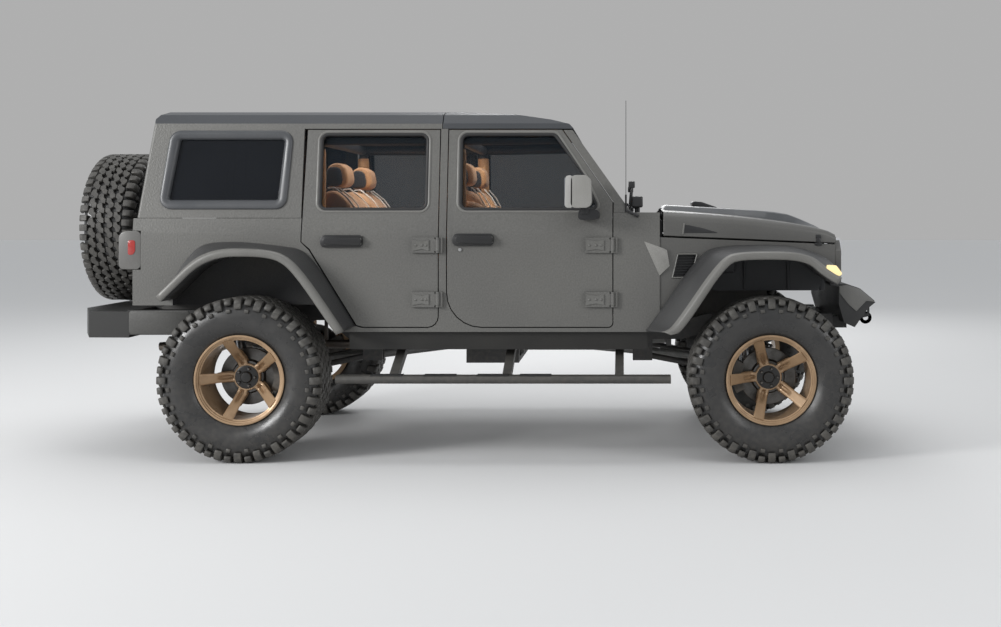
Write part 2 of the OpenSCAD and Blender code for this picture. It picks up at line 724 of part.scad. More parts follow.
// Perches, link ears and shock ears on an axle tube; the link runs towards direction along x and
// the shock stands behind the axle
module axle_brackets(direction) {
    translate([0, spring_y, 0]) cylinder(h = spring_perch - axle_z, r = 72);
    for (y = [rail_inner, rail_outer - 15])
        block([direction > 0 ? 0 : -link_reach - 25, y, -75], [direction > 0 ? link_reach + 25 : 0, y + 15, 20]);
    block([-shock_reach - 25, 505, -60], [-shock_reach + 25, 545, 40]);
    block([-shock_reach, 505, -20], [0, 545, 20]);
}

module front_axle() {
    color("#1d1e20") translate([front_axle_x, 0, axle_z]) union() {
        rotate([90, 0, 0]) cylinder(h = 1180, r = axle_radius, center = true);
        translate([0, front_diff_y, 0]) differential(1);
        both_sides() {
            axle_fork();
            axle_brackets(-1);
        }
    }
}

disc_radius = 165;
disc_y = [track_half - 80, track_half - 58];
hub_end = track_half - 20;

// Caliper over the rim of the brake disc, on the side of the axle given by direction
module caliper(direction) {
    profile = [[110, disc_y[0] - 36], [205, disc_y[0] - 36], [205, disc_y[1] + 22], [150, disc_y[1] + 22],
        [150, disc_y[1] + 8], [disc_radius + 12, disc_y[1] + 8], [disc_radius + 12, disc_y[0] - 8],
        [110, disc_y[0] - 8]];
    rotate([0, direction > 0 ? 0 : 180, 0]) rotate([-90, -28, 0]) rotate_extrude(angle = 56, $fn = 96)
        polygon(profile);
}

module rear_axle() {
    color("#1d1e20") translate([rear_axle_x, 0, axle_z]) union() {
        rotate([90, 0, 0]) cylinder(h = 2 * (disc_y[0] - 45), r = axle_radius, center = true);
        differential(-1);
        both_sides() {
            axle_brackets(1);
            translate([0, disc_y[0] - 60, 0]) rotate([-90, 0, 0]) cylinder(h = 38, r = 115);
            translate([0, 500, 0]) rotate([-90, 0, 0]) cylinder(h = hub_end - 510, r = spindle_radius);
            caliper(1);
        }
    }
}

module knuckle() {
    arm_half = 17;
    union() {
        translate([0, king_pin_y, -king_gap - ear_thick + 2])
            cylinder(h = 2 * (king_gap + ear_thick - 2), r = king_pin_radius);
        translate([0, king_pin_y, -king_gap + 3]) cylinder(h = 2 * king_gap - 6, r = 34);
        translate([0, king_pin_y, 0]) rotate([-90, 0, 0]) cylinder(h = hub_end - 10 - king_pin_y, r = spindle_radius);
        translate([0, disc_y[0] - 36, 0]) rotate([-90, 0, 0]) cylinder(h = 14, r = 115);
        block([0, king_pin_y - arm_half, -20], [link_arm, king_pin_y + arm_half, 4]);
        translate([link_arm, king_pin_y, -20]) cylinder(h = 24, r = arm_half);
        translate([link_arm, king_pin_y, -50]) cylinder(h = 34, r = 10);
        caliper(-1);
    }
}

module left_knuckle() {
    color("#2b2c2e") translate([front_axle_x, 0, axle_z]) knuckle();
}

module right_knuckle() {
    color("#2b2c2e") translate([front_axle_x, 0, axle_z]) mirror([0, 1, 0]) knuckle();
}

module tie_rod() {
    color("#303234") translate([front_axle_x + link_arm, 0, axle_z - 38]) difference() {
        union() {
            rod([0, -king_pin_y + 20, 0], [0, king_pin_y - 20, 0], 16);
            both_sides() translate([0, king_pin_y, -14]) cylinder(h = 28, r = 24);
        }
        for (side = [-1, 1]) translate([0, side * king_pin_y, 0])
            cylinder(h = 60, r = 10 + pin_fit, center = true);
    }
}

// Lower link from the axle bracket at x to the frame bracket at frame_x, with a bush at each end
module control_arm(x, frame_x) {
    ends = [[x, link_y, axle_z - 40], [frame_x, link_y, axle_z + 83]];
    union() {
        rod(ends[0], ends[1], 18);
        for (end = ends) translate(end) rotate([90, 0, 0])
            cylinder(h = rail_width - 30, r = link_bush, center = true);
    }
}

module control_arms() {
    color("#26282a") both_sides() {
        control_arm(front_axle_x - link_reach, front_axle_x - 720);
        control_arm(rear_axle_x + link_reach, rear_axle_x + 640);
    }
}

// Coil spring drawn as a sleeve with one round rib for each turn
module spring(x, top) {
    turns = 7;
    pitch = (top - spring_perch) / turns;
    ribs = [for (i = [0:turns - 1]) each [for (a = [-75:30:75])
        [56 + 0.3 * pitch * cos(a), (i + 0.5 + 0.42 * sin(a)) * pitch]]];
    color("#303236") translate([x, spring_y, spring_perch]) rotate_extrude()
        polygon(concat([[48, 0]], ribs, [[48, top - spring_perch]]));
}

module coil_springs() {
    both_sides() {
        spring(front_axle_x, rail_top + 20);
        spring(rear_axle_x, cargo_floor - 50);
    }
}

// Shock absorber from the ear on the axle up beside the rail
module shock(x, top_x, top) {
    eye_radius = 18;
    foot = [x, 525, axle_z + 40 + eye_radius];
    head = [top_x, rail_outer + 80, top];
    knee = foot + (head - foot) * 0.55;
    color("#8a8f94") union() {
        translate(foot) rotate([90, 0, 0]) cylinder(h = 40, r = eye_radius, center = true);
        rod(foot + (head - foot) * 0.03, knee, 28);
        rod(foot + (head - foot) * 0.45, head, 11);
        translate(head) rotate([90, 0, 0]) cylinder(h = 160, r = 20, center = true);
    }
}

module shock_absorbers() {
    both_sides() {
        shock(front_axle_x - shock_reach, front_axle_x - 130, rail_top + 15);
        shock(rear_axle_x - shock_reach, rear_axle_x - 160, cargo_floor - 70);
    }
}

// ---- Engine and drive ----

engine_front = front_axle_x + 60;

module engine() {
    color("#55585a") block([cowl_x + 90, -230, rail_top - 2], [engine_front, 230, belt_z - 120]);
}

drive_z = axle_z + 173;

module driveline() {
    color("#5c5e60") union() {
        rod([260, 0, drive_z], [cowl_x - 40, 0, drive_z], 105);
        rod([cowl_x - 60, 0, drive_z], [cowl_x + 91, 0, drive_z], 62);
        block([cowl_x + 60, -180, drive_z - 60], [cowl_x + 90, 180, rail_top + 120]);
        block([0, -150, drive_z - 110], [270, 240, drive_z + 100]);
        rod([5, 0, drive_z - 40], [rear_axle_x + 225, 0, axle_z], 32);
        rod([rear_axle_x + 180, 0, axle_z], [rear_axle_x + 230, 0, axle_z], 38);
        rod([265, front_diff_y, drive_z - 60], [front_axle_x - 225, front_diff_y, axle_z], 26);
        rod([front_axle_x - 230, front_diff_y, axle_z], [front_axle_x - 180, front_diff_y, axle_z], 34);
    }
}

pipe_y = -265;

module exhaust() {
    color("#6b6460") union() {
        rod([rear_axle_x - 380, pipe_y, axle_z + 133], [cowl_x - 60, pipe_y, axle_z + 133], 27);
        side_plate(rounded([[tub_back + 40, axle_z + 60, 50], [rear_axle_x - 370, axle_z + 60, 50],
            [rear_axle_x - 370, axle_z + 210, 50], [tub_back + 40, axle_z + 210, 50]]), -320, 160);
        rod([tub_back + 45, -200, axle_z + 120], [tub_back - 70, -200, axle_z + 110], 27);
        block([rear_axle_x + 315, pipe_y - 8, axle_z + 150], [rear_axle_x + 335, pipe_y + 8, cargo_floor - 120]);
        block([tub_back + 50, pipe_y - 8, axle_z + 200], [tub_back + 70, pipe_y + 8, cargo_floor - 120]);
    }
}

module fuel_tank() {
    color("#202224") block([rear_axle_x + 480, 80, axle_z + 75], [-100, 315, rail_top]);
}

// ---- Cabin ----

seat_x = front_door_back + 60;
seat_z = rail_top + 20;
seat_y = 335;
seat_half = 230;
shoulder_z = seat_z + 800;

module front_seat() {
    back = [[seat_x + 60, seat_z], [seat_x + 60, seat_z + 210], [seat_x + 20, seat_z + 250],
        [seat_x - 85, seat_z + 780], [seat_x - 85, seat_z + 925], [seat_x - 60, seat_z + 953],
        [seat_x + 40, seat_z + 953], [seat_x + 60, seat_z + 925], [seat_x + 65, seat_z + 790]];
    cushion = [[seat_x + 165, seat_z + 385], [seat_x + 520, seat_z + 410], [seat_x + 550, seat_z + 330],
        [seat_x + 510, seat_z + 210], [seat_x + 460, seat_z + 190], [seat_x + 460, seat_z]];
    difference() {
        side_plate(concat(back, cushion), seat_y - seat_half, seat_y + seat_half);
        for (side = [-1, 1]) translate([0, seat_y + side * 195, 0])
            block([seat_x - 200, -70, shoulder_z], [seat_x + 100, 70, roof_z]);
    }
}

module front_seats() {
    color("#9a6b42") both_sides() front_seat();
}

module rear_seat() {
    bench_x = rear_door_back + 11;
    bench_half = bar_y - bar_radius + 5;
    back = [[bench_x - 60, cargo_floor], [bench_x + 25, seat_z + 780], [bench_x + 30, seat_z + 925],
        [bench_x + 55, seat_z + 953], [bench_x + 155, seat_z + 953], [bench_x + 178, seat_z + 925],
        [bench_x + 183, seat_z + 790], [bench_x + 235, seat_z + 680], [bench_x + 265, seat_z + 415]];
    cushion = [[bench_x + 560, seat_z + 440], [bench_x + 575, seat_z + 355], [bench_x + 530, seat_z + 235],
        [bench_x + 480, seat_z + 225], [bench_x + 480, seat_z], [wheel_house_front + 12, seat_z],
        [wheel_house_front + 12, cargo_floor]];
    color("#9a6b42") difference() {
        side_plate(concat(back, cushion), -bench_half, bench_half);
        block([bench_x - 30, 125 - seat_y, shoulder_z], [bench_x + 200, seat_y - 125, roof_z]);
        for (side = [-1, 1]) translate([0, side * 525, 0])
            block([bench_x - 30, -65, shoulder_z], [bench_x + 200, 70, roof_z]);
    }
}

module dashboard() {
    line = [[cowl_x - 400, belt_z - 110], [cowl_x - 380, belt_z + 50], [cowl_x - 330, belt_z + 95],
        [cowl_x - 180, belt_z + 108], [cowl_x - 37, belt_z + 108], [cowl_x - 37, belt_z - 160],
        [cowl_x - 330, belt_z - 160]];
    color("#1f2022") union() {
        intersection() {
            side_plate(line, -half_width, half_width);
            end_plate(cab_section(wall + 4), cowl_x - 410, cowl_x);
        }
        rod(column_foot, column_head, 24);
        block([cowl_x - 360, -90, rail_top + 20], [cowl_x - 200, 90, belt_z - 140]);
    }
}

wheel_y = seat_y;
column_foot = [cowl_x - 380, wheel_y, belt_z - 40];
column_head = [cowl_x - 452, wheel_y, belt_z - 6];
column_turn = atan2(column_head.x - column_foot.x, column_head.z - column_foot.z);

module steering_wheel() {
    color("#1a1a1b") translate(column_head) rotate([0, column_turn, 0]) union() {
        translate([0, 0, 34]) rotate_extrude() translate([172, 0]) circle(r = 15, $fn = 20);
        translate([0, 0, 0.3]) cylinder(h = 38, r = 52);
        for (a = [90, 180, 270]) rotate([0, 0, a]) block([30, -14, 22], [165, 14, 36]);
    }
}

bar_radius = 30;
bar_y = 605;

// One cross hoop of the roll bar and its feet
module hoop(x, foot_z) {
    head = cant_z - 55;
    both_sides() {
        translate([x, bar_y + 35, foot_z]) cylinder(h = 8, r = 42);
        rod([x, bar_y + 35, foot_z + 5], [x, bar_y, head], bar_radius);
        translate([x, bar_y, head]) sphere(r = bar_radius + 5);
    }
    rod([x, -bar_y, head], [x, bar_y, head], bar_radius);
}

module roll_bar() {
    hoop_x = [rear_door_back + 51, rear_door_front + 100];
    head = cant_z - 55;
    color("#8a6242") union() {
        hoop(hoop_x[0], wheel_house_top);
        hoop(hoop_x[1], rail_top + 20);
        both_sides() {
            rod([hoop_x[0], bar_y, head], [hoop_x[1], bar_y, head], bar_radius);
            rod([hoop_x[1], bar_y, head], [windscreen_head.x - 80, bar_y - 15, head + 10], bar_radius);
        }
    }
}

// ---- Doors ----

window_low = quarter_low - 20;
front_window = [[front_door_back + 66, window_low, 40], [front_door_front - 68, window_low, 30],
    [front_door_front - 158, belt_z + 348, 30], [door_slant.x - 35, cant_z - 20, 40],
    [front_door_back + 66, cant_z - 20, 40]];
rear_window_side = [[rear_door_back + 86, window_low, 40], [rear_door_front - 63, window_low, 40],
    [rear_door_front - 63, cant_z - 20, 40], [rear_door_back + 86, cant_z - 20, 40]];

// Door shell: the outline cut through the leaning wall, with its window hole
module door_panel(outline, window) {
    difference() {
        intersection() {
            side_plate(outline, 0, half_width + 1);
            side_wall(rear_door_back - 60, front_door_front + 1, door_z, cant_z, wall - 6);
        }
        side_plate(rounded(window), 0, half_width + 1);
    }
}

module door_glass(window) {
    color("#9fb0b5") intersection() {
        side_plate(rounded([for (p = window) p], 4), 0, half_width);
        side_wall(rear_door_back, front_door_front, tub_top, cant_z, 5, 24);
    }
}

// Paddle handle standing off the skin
module handle(x0, x1, z) {
    block([x0, half_width - 1, z], [x1, half_width + 14, z + 62]);
    block([x0 + 25, half_width + 13, z + 12], [x1, half_width + 34, z + 48]);
}

module front_door() {
    color("#4a4a4c") union() {
        door_panel(front_door_outline(0), front_window);
        for (z = door_hinge_z) moving_leaf(front_hinge_x, hinge_y, z, 160);
        handle(front_door_back + 36, front_door_back + 266, belt_z - 61);
    }
}

module rear_door() {
    color("#4a4a4c") union() {
        door_panel(rear_door_outline(0), rear_window_side);
        for (z = door_hinge_z) moving_leaf(rear_hinge_x, hinge_y, z, 152);
        handle(rear_door_back + 111, rear_door_back + 346, belt_z - 70);
    }
}

module mirror_unit() {
    x = front_door_front;
    arm_z = belt_z + 83;
    color("#202123") union() {
        block([x - 190, skin(arm_z) + 0.3, arm_z], [x - 70, half_width + 150, arm_z + 60]);
        block([x - 180, half_width + 105, arm_z + 50], [x - 130, half_width + 150, arm_z + 90]);
        side_plate(rounded([[x - 266, arm_z + 68, 25], [x - 112, arm_z + 68, 25], [x - 120, arm_z + 253, 25],
            [x - 258, arm_z + 253, 25]]), half_width + 60, half_width + 200);
    }
}

// ---- Tailgate and spare ----

spare_centre = [tub_back - 308, 0, belt_z + 35];
hub_face = 50;

module tailgate() {
    low = cargo_floor;
    color("#4a4a4c") union() {
        block([tub_back, -gate_half, low], [tub_back + 48, gate_half, tub_top - 4]);
        for (z = gate_hinge_z) difference() {
            union() {
                translate([gate_pin.x, gate_pin.y, z + 10]) cylinder(h = 40, r = 2 * hinge_pin_radius);
                block([gate_pin.x - 6, gate_pin.y, z + 10], [tub_back - gap, gate_pin.y + 90, z + 50]);
                block([tub_back - gap - 1, gate_pin.y + 30, z + 10], [tub_back + 1, gate_pin.y + 90, z + 50]);
            }
            translate([gate_pin.x, gate_pin.y, z]) cylinder(h = 60, r = hinge_pin_radius + pin_fit);
        }
        block([tub_back - 25, -230, spare_centre.z - 260], [tub_back + 1, 230, tub_top - 10]);
        rod([tub_back - 24, 0, spare_centre.z], [spare_centre.x + hub_face, 0, spare_centre.z], 78);
    }
}

// ---- Wheels ----

half_tread = tyre_width / 2;
bead_half = half_tread - 45;
lip = 20;

// Section of a tyre: [radius, distance from the tyre's middle plane]
tyre_section = [[bead_radius, -bead_half], [bead_radius + 22, -bead_half], [bead_radius + 60, -half_tread + 18],
    [bead_radius + 130, -half_tread], [tyre_radius - 45, -half_tread + 2], [tyre_radius - 12, -half_tread + 12],
    [tyre_radius, -half_tread + 34], [tyre_radius, half_tread - 34], [tyre_radius - 12, half_tread - 12],
    [tyre_radius - 45, half_tread - 2], [bead_radius + 130, half_tread], [bead_radius + 60, half_tread - 18],
    [bead_radius + 22, bead_half], [bead_radius, bead_half]];

module tyre() {
    color("#1e1e1f") rotate([-90, 0, 0]) rotate_extrude($fn = 120) polygon(tyre_section);
}

spoke_count = 5;
barrel = bead_radius - 0.3;

// Dished wheel with its outer face towards +y, its hub and brake disc
module rim(with_disc) {
    seat = barrel - 10;
    flange = [[seat, -bead_half - 12], [bead_radius + lip, -bead_half - 12], [bead_radius + lip, -bead_half],
        [barrel, -bead_half], [barrel, bead_half], [bead_radius + lip, bead_half],
        [bead_radius + lip, bead_half + 12], [seat, bead_half + 12]];
    dish = [[60, -50], [60, -15], [100, -12], [seat - 20, bead_half - 15], [seat + 1, bead_half + 5],
        [seat + 1, bead_half - 40], [130, -45], [100, -50]];
    color("#6f5a3c") union() {
        rotate([-90, 0, 0]) rotate_extrude($fn = 120) polygon(flange);
        difference() {
            rotate([-90, 0, 0]) rotate_extrude($fn = 120) polygon(dish);
            for (i = [0:spoke_count - 1]) rotate([0, -90 + 36 - i * 360 / spoke_count, 0])
                side_plate([[112, -14], [seat - 8, -78], [seat - 8, 78], [112, 14]], -200, 200);
        }
        difference() {
            rotate([-90, 0, 0]) translate([0, 0, with_disc ? -80 : -50])
                cylinder(h = with_disc ? 76 : 46, r = 78);
            if (with_disc) rotate([-90, 0, 0]) translate([0, 0, -81])
                cylinder(h = 61, r = spindle_radius + pin_fit);
        }
        if (with_disc) difference() {
            rotate([-90, 0, 0]) translate([0, 0, -80]) cylinder(h = 22, r = disc_radius);
            rotate([-90, 0, 0]) translate([0, 0, -81]) cylinder(h = 24, r = 70);
        }
    }
}

// Places a wheel piece made at the origin at one corner of the vehicle
module at_wheel(x, side) {
    on_side(side) translate([x, track_half, axle_z]) children();
}

module at_spare() {
    translate(spare_centre) rotate([0, 0, 90]) children();
}

// ---- Which piece is drawn ----

frame();
floor_pan();
body_sides();
cowl();
windscreen_frame();
front_roof();
hard_top();
windscreen();
cargo_glass();
fenders();
wheel_flares();
grille();
headlamps();
front_bumper();
rear_bumper();
side_steps();
tail_lamps();
front_axle();
rear_axle();
control_arms();
coil_springs();
shock_absorbers();
engine();
driveline();
exhaust();
fuel_tank();
front_seats();
rear_seat();
dashboard();
steering_wheel();
roll_bar();
bonnet();
tailgate();
at_spare() tyre();  // spare_tyre
at_spare() rim(false);  // spare_rim
front_door();  // front_left_door
on_side(-1) front_door();  // front_right_door
rear_door();  // rear_left_door
on_side(-1) rear_door();  // rear_right_door
door_glass(front_window);  // front_left_glass
on_side(-1) door_glass(front_window);  // front_right_glass
door_glass(rear_window_side);  // rear_left_glass
on_side(-1) door_glass(rear_window_side);  // rear_right_glass
mirror_unit();  // left_mirror
on_side(-1) mirror_unit();  // right_mirror
at_wheel(front_axle_x, 1) tyre();  // front_left_tyre
at_wheel(front_axle_x, -1) tyre();  // front_right_tyre
at_wheel(rear_axle_x, 1) tyre();  // rear_left_tyre
at_wheel(rear_axle_x, -1) tyre();  // rear_right_tyre
at_wheel(front_axle_x, 1) rim(true);  // front_left_rim
at_wheel(front_axle_x, -1) rim(true);  // front_right_rim
at_wheel(rear_axle_x, 1) rim(true);  // rear_left_rim
at_wheel(rear_axle_x, -1) rim(true);  // rear_right_rim
left_knuckle();
right_knuckle();
tie_rod();
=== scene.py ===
from math import cos, hypot, pi, radians, sin

import bmesh
import bpy
from mathutils import Matrix, Vector


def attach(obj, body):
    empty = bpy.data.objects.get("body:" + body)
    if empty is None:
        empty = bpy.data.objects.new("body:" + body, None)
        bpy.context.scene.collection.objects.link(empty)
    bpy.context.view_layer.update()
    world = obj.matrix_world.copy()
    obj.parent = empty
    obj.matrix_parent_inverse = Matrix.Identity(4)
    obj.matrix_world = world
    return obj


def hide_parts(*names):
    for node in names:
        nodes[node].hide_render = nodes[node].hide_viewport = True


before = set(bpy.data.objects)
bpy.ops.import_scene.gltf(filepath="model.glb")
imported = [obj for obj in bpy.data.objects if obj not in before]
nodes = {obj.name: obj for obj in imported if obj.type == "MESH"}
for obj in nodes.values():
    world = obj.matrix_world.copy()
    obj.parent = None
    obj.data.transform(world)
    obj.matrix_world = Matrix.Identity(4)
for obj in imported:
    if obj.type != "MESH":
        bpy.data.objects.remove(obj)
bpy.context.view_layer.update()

# ---- Studio ----
# A pale seamless floor under an even pale sky, and soft lamps hung above, behind
# and in front. The camera stands level with the windows, square to the right side.


def add(tree, kind, inputs, **settings):
    node = tree.nodes.new("ShaderNode" + kind)
    for name, value in settings.items():
        setattr(node, name, value)
    for name, value in inputs.items():
        if isinstance(value, bpy.types.NodeSocket):
            tree.links.new(value, node.inputs[name])
        else:
            node.inputs[name].default_value = value
    return node


def blank_material(name):
    material = bpy.data.materials.new(name)
    material.use_nodes = True
    material.node_tree.nodes.clear()
    return material, material.node_tree


studio_grey = (0.43, 0.43, 0.43, 1)
sky_light = (0.86, 0.88, 0.90, 1)

sky = bpy.data.worlds.new("studio sky")
bpy.context.scene.world = sky
sky.use_nodes = True
sky_tree = sky.node_tree
sky_tree.nodes.clear()
sky_ray = add(sky_tree, "LightPath", {})
seen_or_glossy = add(sky_tree, "Math", {0: sky_ray.outputs["Is Camera Ray"],
                                        1: sky_ray.outputs["Is Transmission Ray"]}, operation="MAXIMUM")
lit_sky = add(sky_tree, "Background", {"Color": sky_light, "Strength": 0.78})
seen_sky = add(sky_tree, "Background", {"Color": studio_grey, "Strength": 1.0})
sky_mix = add(sky_tree, "MixShader", {0: seen_or_glossy.outputs[0], 1: lit_sky.outputs[0],
                                      2: seen_sky.outputs[0]})
add(sky_tree, "OutputWorld", {"Surface": sky_mix.outputs[0]})

floor_bm = bmesh.new()
bmesh.ops.create_grid(floor_bm, x_segments=1, y_segments=1, size=60)
floor_mesh = bpy.data.meshes.new("studio floor")
floor_bm.to_mesh(floor_mesh)
floor_bm.free()
studio_floor = bpy.data.objects.new("studio_floor", floor_mesh)
bpy.context.collection.objects.link(studio_floor)
floor_material, floor_tree = blank_material("studio floor")
floor_skin = add(floor_tree, "BsdfPrincipled", {"Base Color": (0.62, 0.62, 0.62, 1), "Roughness": 0.8,
                                                "Specular IOR Level": 0.1})
add(floor_tree, "OutputMaterial", {"Surface": floor_skin.outputs[0]})
floor_mesh.materials.append(floor_material)

for lamp_name, lamp_spot, lamp_aim, lamp_size, lamp_power in (
        ("rear side lamp", (-9.0, -6.5, 4.4), (-1.2, -0.8, 1.2), 3.6, 950),
        ("front side lamp", (7.5, -5.5, 4.0), (1.0, -0.6, 0.9), 3.0, 120),
        ("top lamp", (0.0, 0.5, 7.0), (0, 0, 1.0), 6.0, 150),
        ("far side lamp", (0.5, 8.5, 5.0), (0, 0.8, 1.0), 4.0, 240)):
    lamp_data = bpy.data.lights.new(lamp_name, "AREA")
    lamp_data.energy = lamp_power
    lamp_data.shape = "DISK"
    lamp_data.size = lamp_size
    lamp = bpy.data.objects.new(lamp_name, lamp_data)
    lamp.location = lamp_spot
    lamp.rotation_euler = (Vector(lamp_aim) - Vector(lamp_spot)).to_track_quat("-Z", "Y").to_euler()
    bpy.context.collection.objects.link(lamp)

cabin_glow = bpy.data.lights.new("cabin lamp", "AREA")
cabin_glow.shape = "RECTANGLE"
cabin_glow.size = 1.7
cabin_glow.size_y = 0.9
cabin_glow.energy = 46
cabin_lamp = bpy.data.objects.new("cabin lamp", cabin_glow)
cabin_lamp.location = (-0.45, -0.05, 1.890)
cabin_lamp.visible_glossy = False
bpy.context.collection.objects.link(cabin_lamp)

camera_data = bpy.data.cameras.new("camera")
camera_data.sensor_width = 36
camera_data.lens = 43.52
camera_data.shift_x = -0.1244
camera_data.shift_y = -0.0984
camera_data.clip_end = 300
camera = bpy.data.objects.new("camera", camera_data)
camera.location = (0.908, -7.785, 1.402)
camera.rotation_euler = (radians(90), 0, 0)
bpy.context.collection.objects.link(camera)
bpy.context.scene.camera = camera
bpy.context.scene.view_settings.view_transform = "Standard"

# ---- Ladder frame, axles and links ----
# Boxed steel rails with cross members, solid axles with cast differential housings,
# tubular links. All welded or cast, sprayed satin black and dusted by the road.


def coat_grain_group():
    """Sprayed, cast or moulded surface: clouded colour, fine grain, and dust that thins upwards."""
    group = bpy.data.node_groups.new("coat grain", "ShaderNodeTree")
    for label, kind, value in (("Colour", "Color", (0.1, 0.1, 0.1, 1)), ("Cloud colour", "Color", (0.1, 0.1, 0.1, 1)),
                               ("Cloud scale", "Float", 4), ("Grain scale", "Float", 300),
                               ("Roughness", "Float", 0.5), ("Spread", "Float", 0.15), ("Dust", "Float", 0)):
        group.interface.new_socket(name=label, in_out="INPUT", socket_type="NodeSocket" + kind).default_value = value
    for label, kind in (("Colour", "Color"), ("Roughness", "Float"), ("Height", "Float")):
        group.interface.new_socket(name=label, in_out="OUTPUT", socket_type="NodeSocket" + kind)
    given = group.nodes.new("NodeGroupInput").outputs
    place = add(group, "TexCoord", {}).outputs["Object"]
    cloud = add(group, "TexNoise", {"Vector": place, "Scale": given["Cloud scale"], "Detail": 5.0}).outputs[0]
    grain = add(group, "TexNoise", {"Vector": place, "Scale": given["Grain scale"], "Detail": 3.0}).outputs[0]
    speck = add(group, "TexNoise", {"Vector": place, "Scale": 38.0, "Detail": 6.0}).outputs[0]
    patch = add(group, "MapRange", {"Value": cloud, 1: 0.36, 2: 0.66}).outputs[0]
    tone = add(group, "Mix", {0: patch, 6: given["Colour"], 7: given["Cloud colour"]}, data_type="RGBA").outputs[2]
    fleck = add(group, "MapRange", {"Value": grain, 1: 0.3, 2: 0.75, 3: 0.88, 4: 1.12}).outputs[0]
    tone = add(group, "VectorMath", {0: tone, 1: fleck}, operation="MULTIPLY").outputs[0]
    height = add(group, "SeparateXYZ", {"Vector": place}).outputs[2]
    low = add(group, "MapRange", {"Value": height, 1: 0.05, 2: 0.95, 3: 1.0, 4: 0.0}).outputs[0]
    film = add(group, "MapRange", {"Value": speck, 1: 0.38, 2: 0.68}).outputs[0]
    film = add(group, "Math", {0: film, 1: low}, operation="MULTIPLY").outputs[0]
    film = add(group, "Math", {0: film, 1: given["Dust"]}, operation="MULTIPLY").outputs[0]
    tone = add(group, "Mix", {0: film, 6: tone, 7: (0.16, 0.14, 0.115, 1)}, data_type="RGBA").outputs[2]
    sway = add(group, "MapRange", {"Value": cloud, 1: 0.3, 2: 0.7, 3: -0.5, 4: 0.5}).outputs[0]
    shine = add(group, "Math", {0: sway, 1: given["Spread"], 2: given["Roughness"]}, operation="MULTIPLY_ADD").outputs[0]
    shine = add(group, "Math", {0: film, 1: 0.3, 2: shine}, operation="MULTIPLY_ADD").outputs[0]
    result = group.nodes.new("NodeGroupOutput").inputs
    for label, value in (("Colour", tone), ("Roughness", shine), ("Height", grain)):
        group.links.new(value, result[label])
    return group


coat_grain = coat_grain_group()


def coated(name, colour, cloud, rough=0.5, spread=0.15, cloud_scale=4.0, grain_scale=300.0, depth=0.1,
           dust=0.0, metallic=0.0, coat=0.0, specular=0.5):
    material, tree = blank_material(name)
    grain = add(tree, "Group", {}, node_tree=coat_grain)
    for label, value in (("Colour", (*colour, 1)), ("Cloud colour", (*cloud, 1)), ("Cloud scale", cloud_scale),
                         ("Grain scale", grain_scale), ("Roughness", rough), ("Spread", spread), ("Dust", dust)):
        grain.inputs[label].default_value = value
    bump = add(tree, "Bump", {"Strength": depth, "Distance": 0.002, "Height": grain.outputs["Height"]})
    skin = add(tree, "BsdfPrincipled", {
        "Base Color": grain.outputs["Colour"], "Roughness": grain.outputs["Roughness"],
        "Normal": bump.outputs[0], "Metallic": metallic, "Coat Weight": coat, "Coat Roughness": 0.2,
        "Specular IOR Level": specular})
    add(tree, "OutputMaterial", {"Surface": skin.outputs[0]})
    return material


def dress(material, *names):
    for name in names:
        for held in nodes[name].material_slots:
            held.material = material


def finished(bm, name, material, body, replaced=(), smooth=32):
    """Turns a bmesh into a piece: shading, finish, the body it rides on, and the solids it stands for."""
    mesh = bpy.data.meshes.new(name)
    bm.to_mesh(mesh)
    bm.free()
    mesh.shade_smooth()
    mesh.set_sharp_from_angle(angle=radians(smooth))
    for each in (material if isinstance(material, (list, tuple)) else [material]):
        mesh.materials.append(each)
    made = bpy.data.objects.new(name, mesh)
    bpy.context.collection.objects.link(made)
    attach(made, body)
    if replaced:
        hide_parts(*replaced)
    return made


cabin_middle = Vector((-0.4, 0, 1.45))


def softened(node, name, material, body, width, turn=24, steps=2, lining=None, tail=0.0):
    """The node's own shape with its hard corners rolled over, as on pressed or moulded panels.
    Faces that look into the cabin take the lining; upright corners at the back take the tail radius."""
    bm = bmesh.new()
    bm.from_mesh(nodes[node].data)
    bmesh.ops.remove_doubles(bm, verts=bm.verts, dist=2e-5)
    bmesh.ops.dissolve_limit(bm, angle_limit=radians(1.5), verts=bm.verts, edges=bm.edges)
    if tail:
        upright = [e for e in bm.edges if len(e.link_faces) == 2 and e.calc_face_angle(0) > radians(60)
                   and all(v.co.x < -1.83 and abs(v.co.y) > 0.69 for v in e.verts)
                   and abs(e.verts[0].co.z - e.verts[1].co.z) > 0.25 and e.is_convex]
        bmesh.ops.bevel(bm, geom=upright, offset=tail, offset_type="OFFSET", segments=6, profile=0.5,
                        affect="EDGES", clamp_overlap=True, material=-1)
    corners = [e for e in bm.edges if len(e.link_faces) == 2 and e.calc_face_angle(0) > radians(turn)]
    bmesh.ops.bevel(bm, geom=corners, offset=width, offset_type="OFFSET", segments=steps, profile=0.5,
                    affect="EDGES", clamp_overlap=True, material=-1)
    if lining:
        for face in bm.faces:
            centre = face.calc_center_median()
            inward = (cabin_middle - centre).normalized()
            if face.normal.dot(inward) > 0.3 and centre.x < 0.97:
                face.material_index = 1
        material = [material, lining]
    made = finished(bm, name, material, body, (node,))
    lying = made.modifiers.new("flat panels", "WEIGHTED_NORMAL")
    lying.keep_sharp = True
    return made


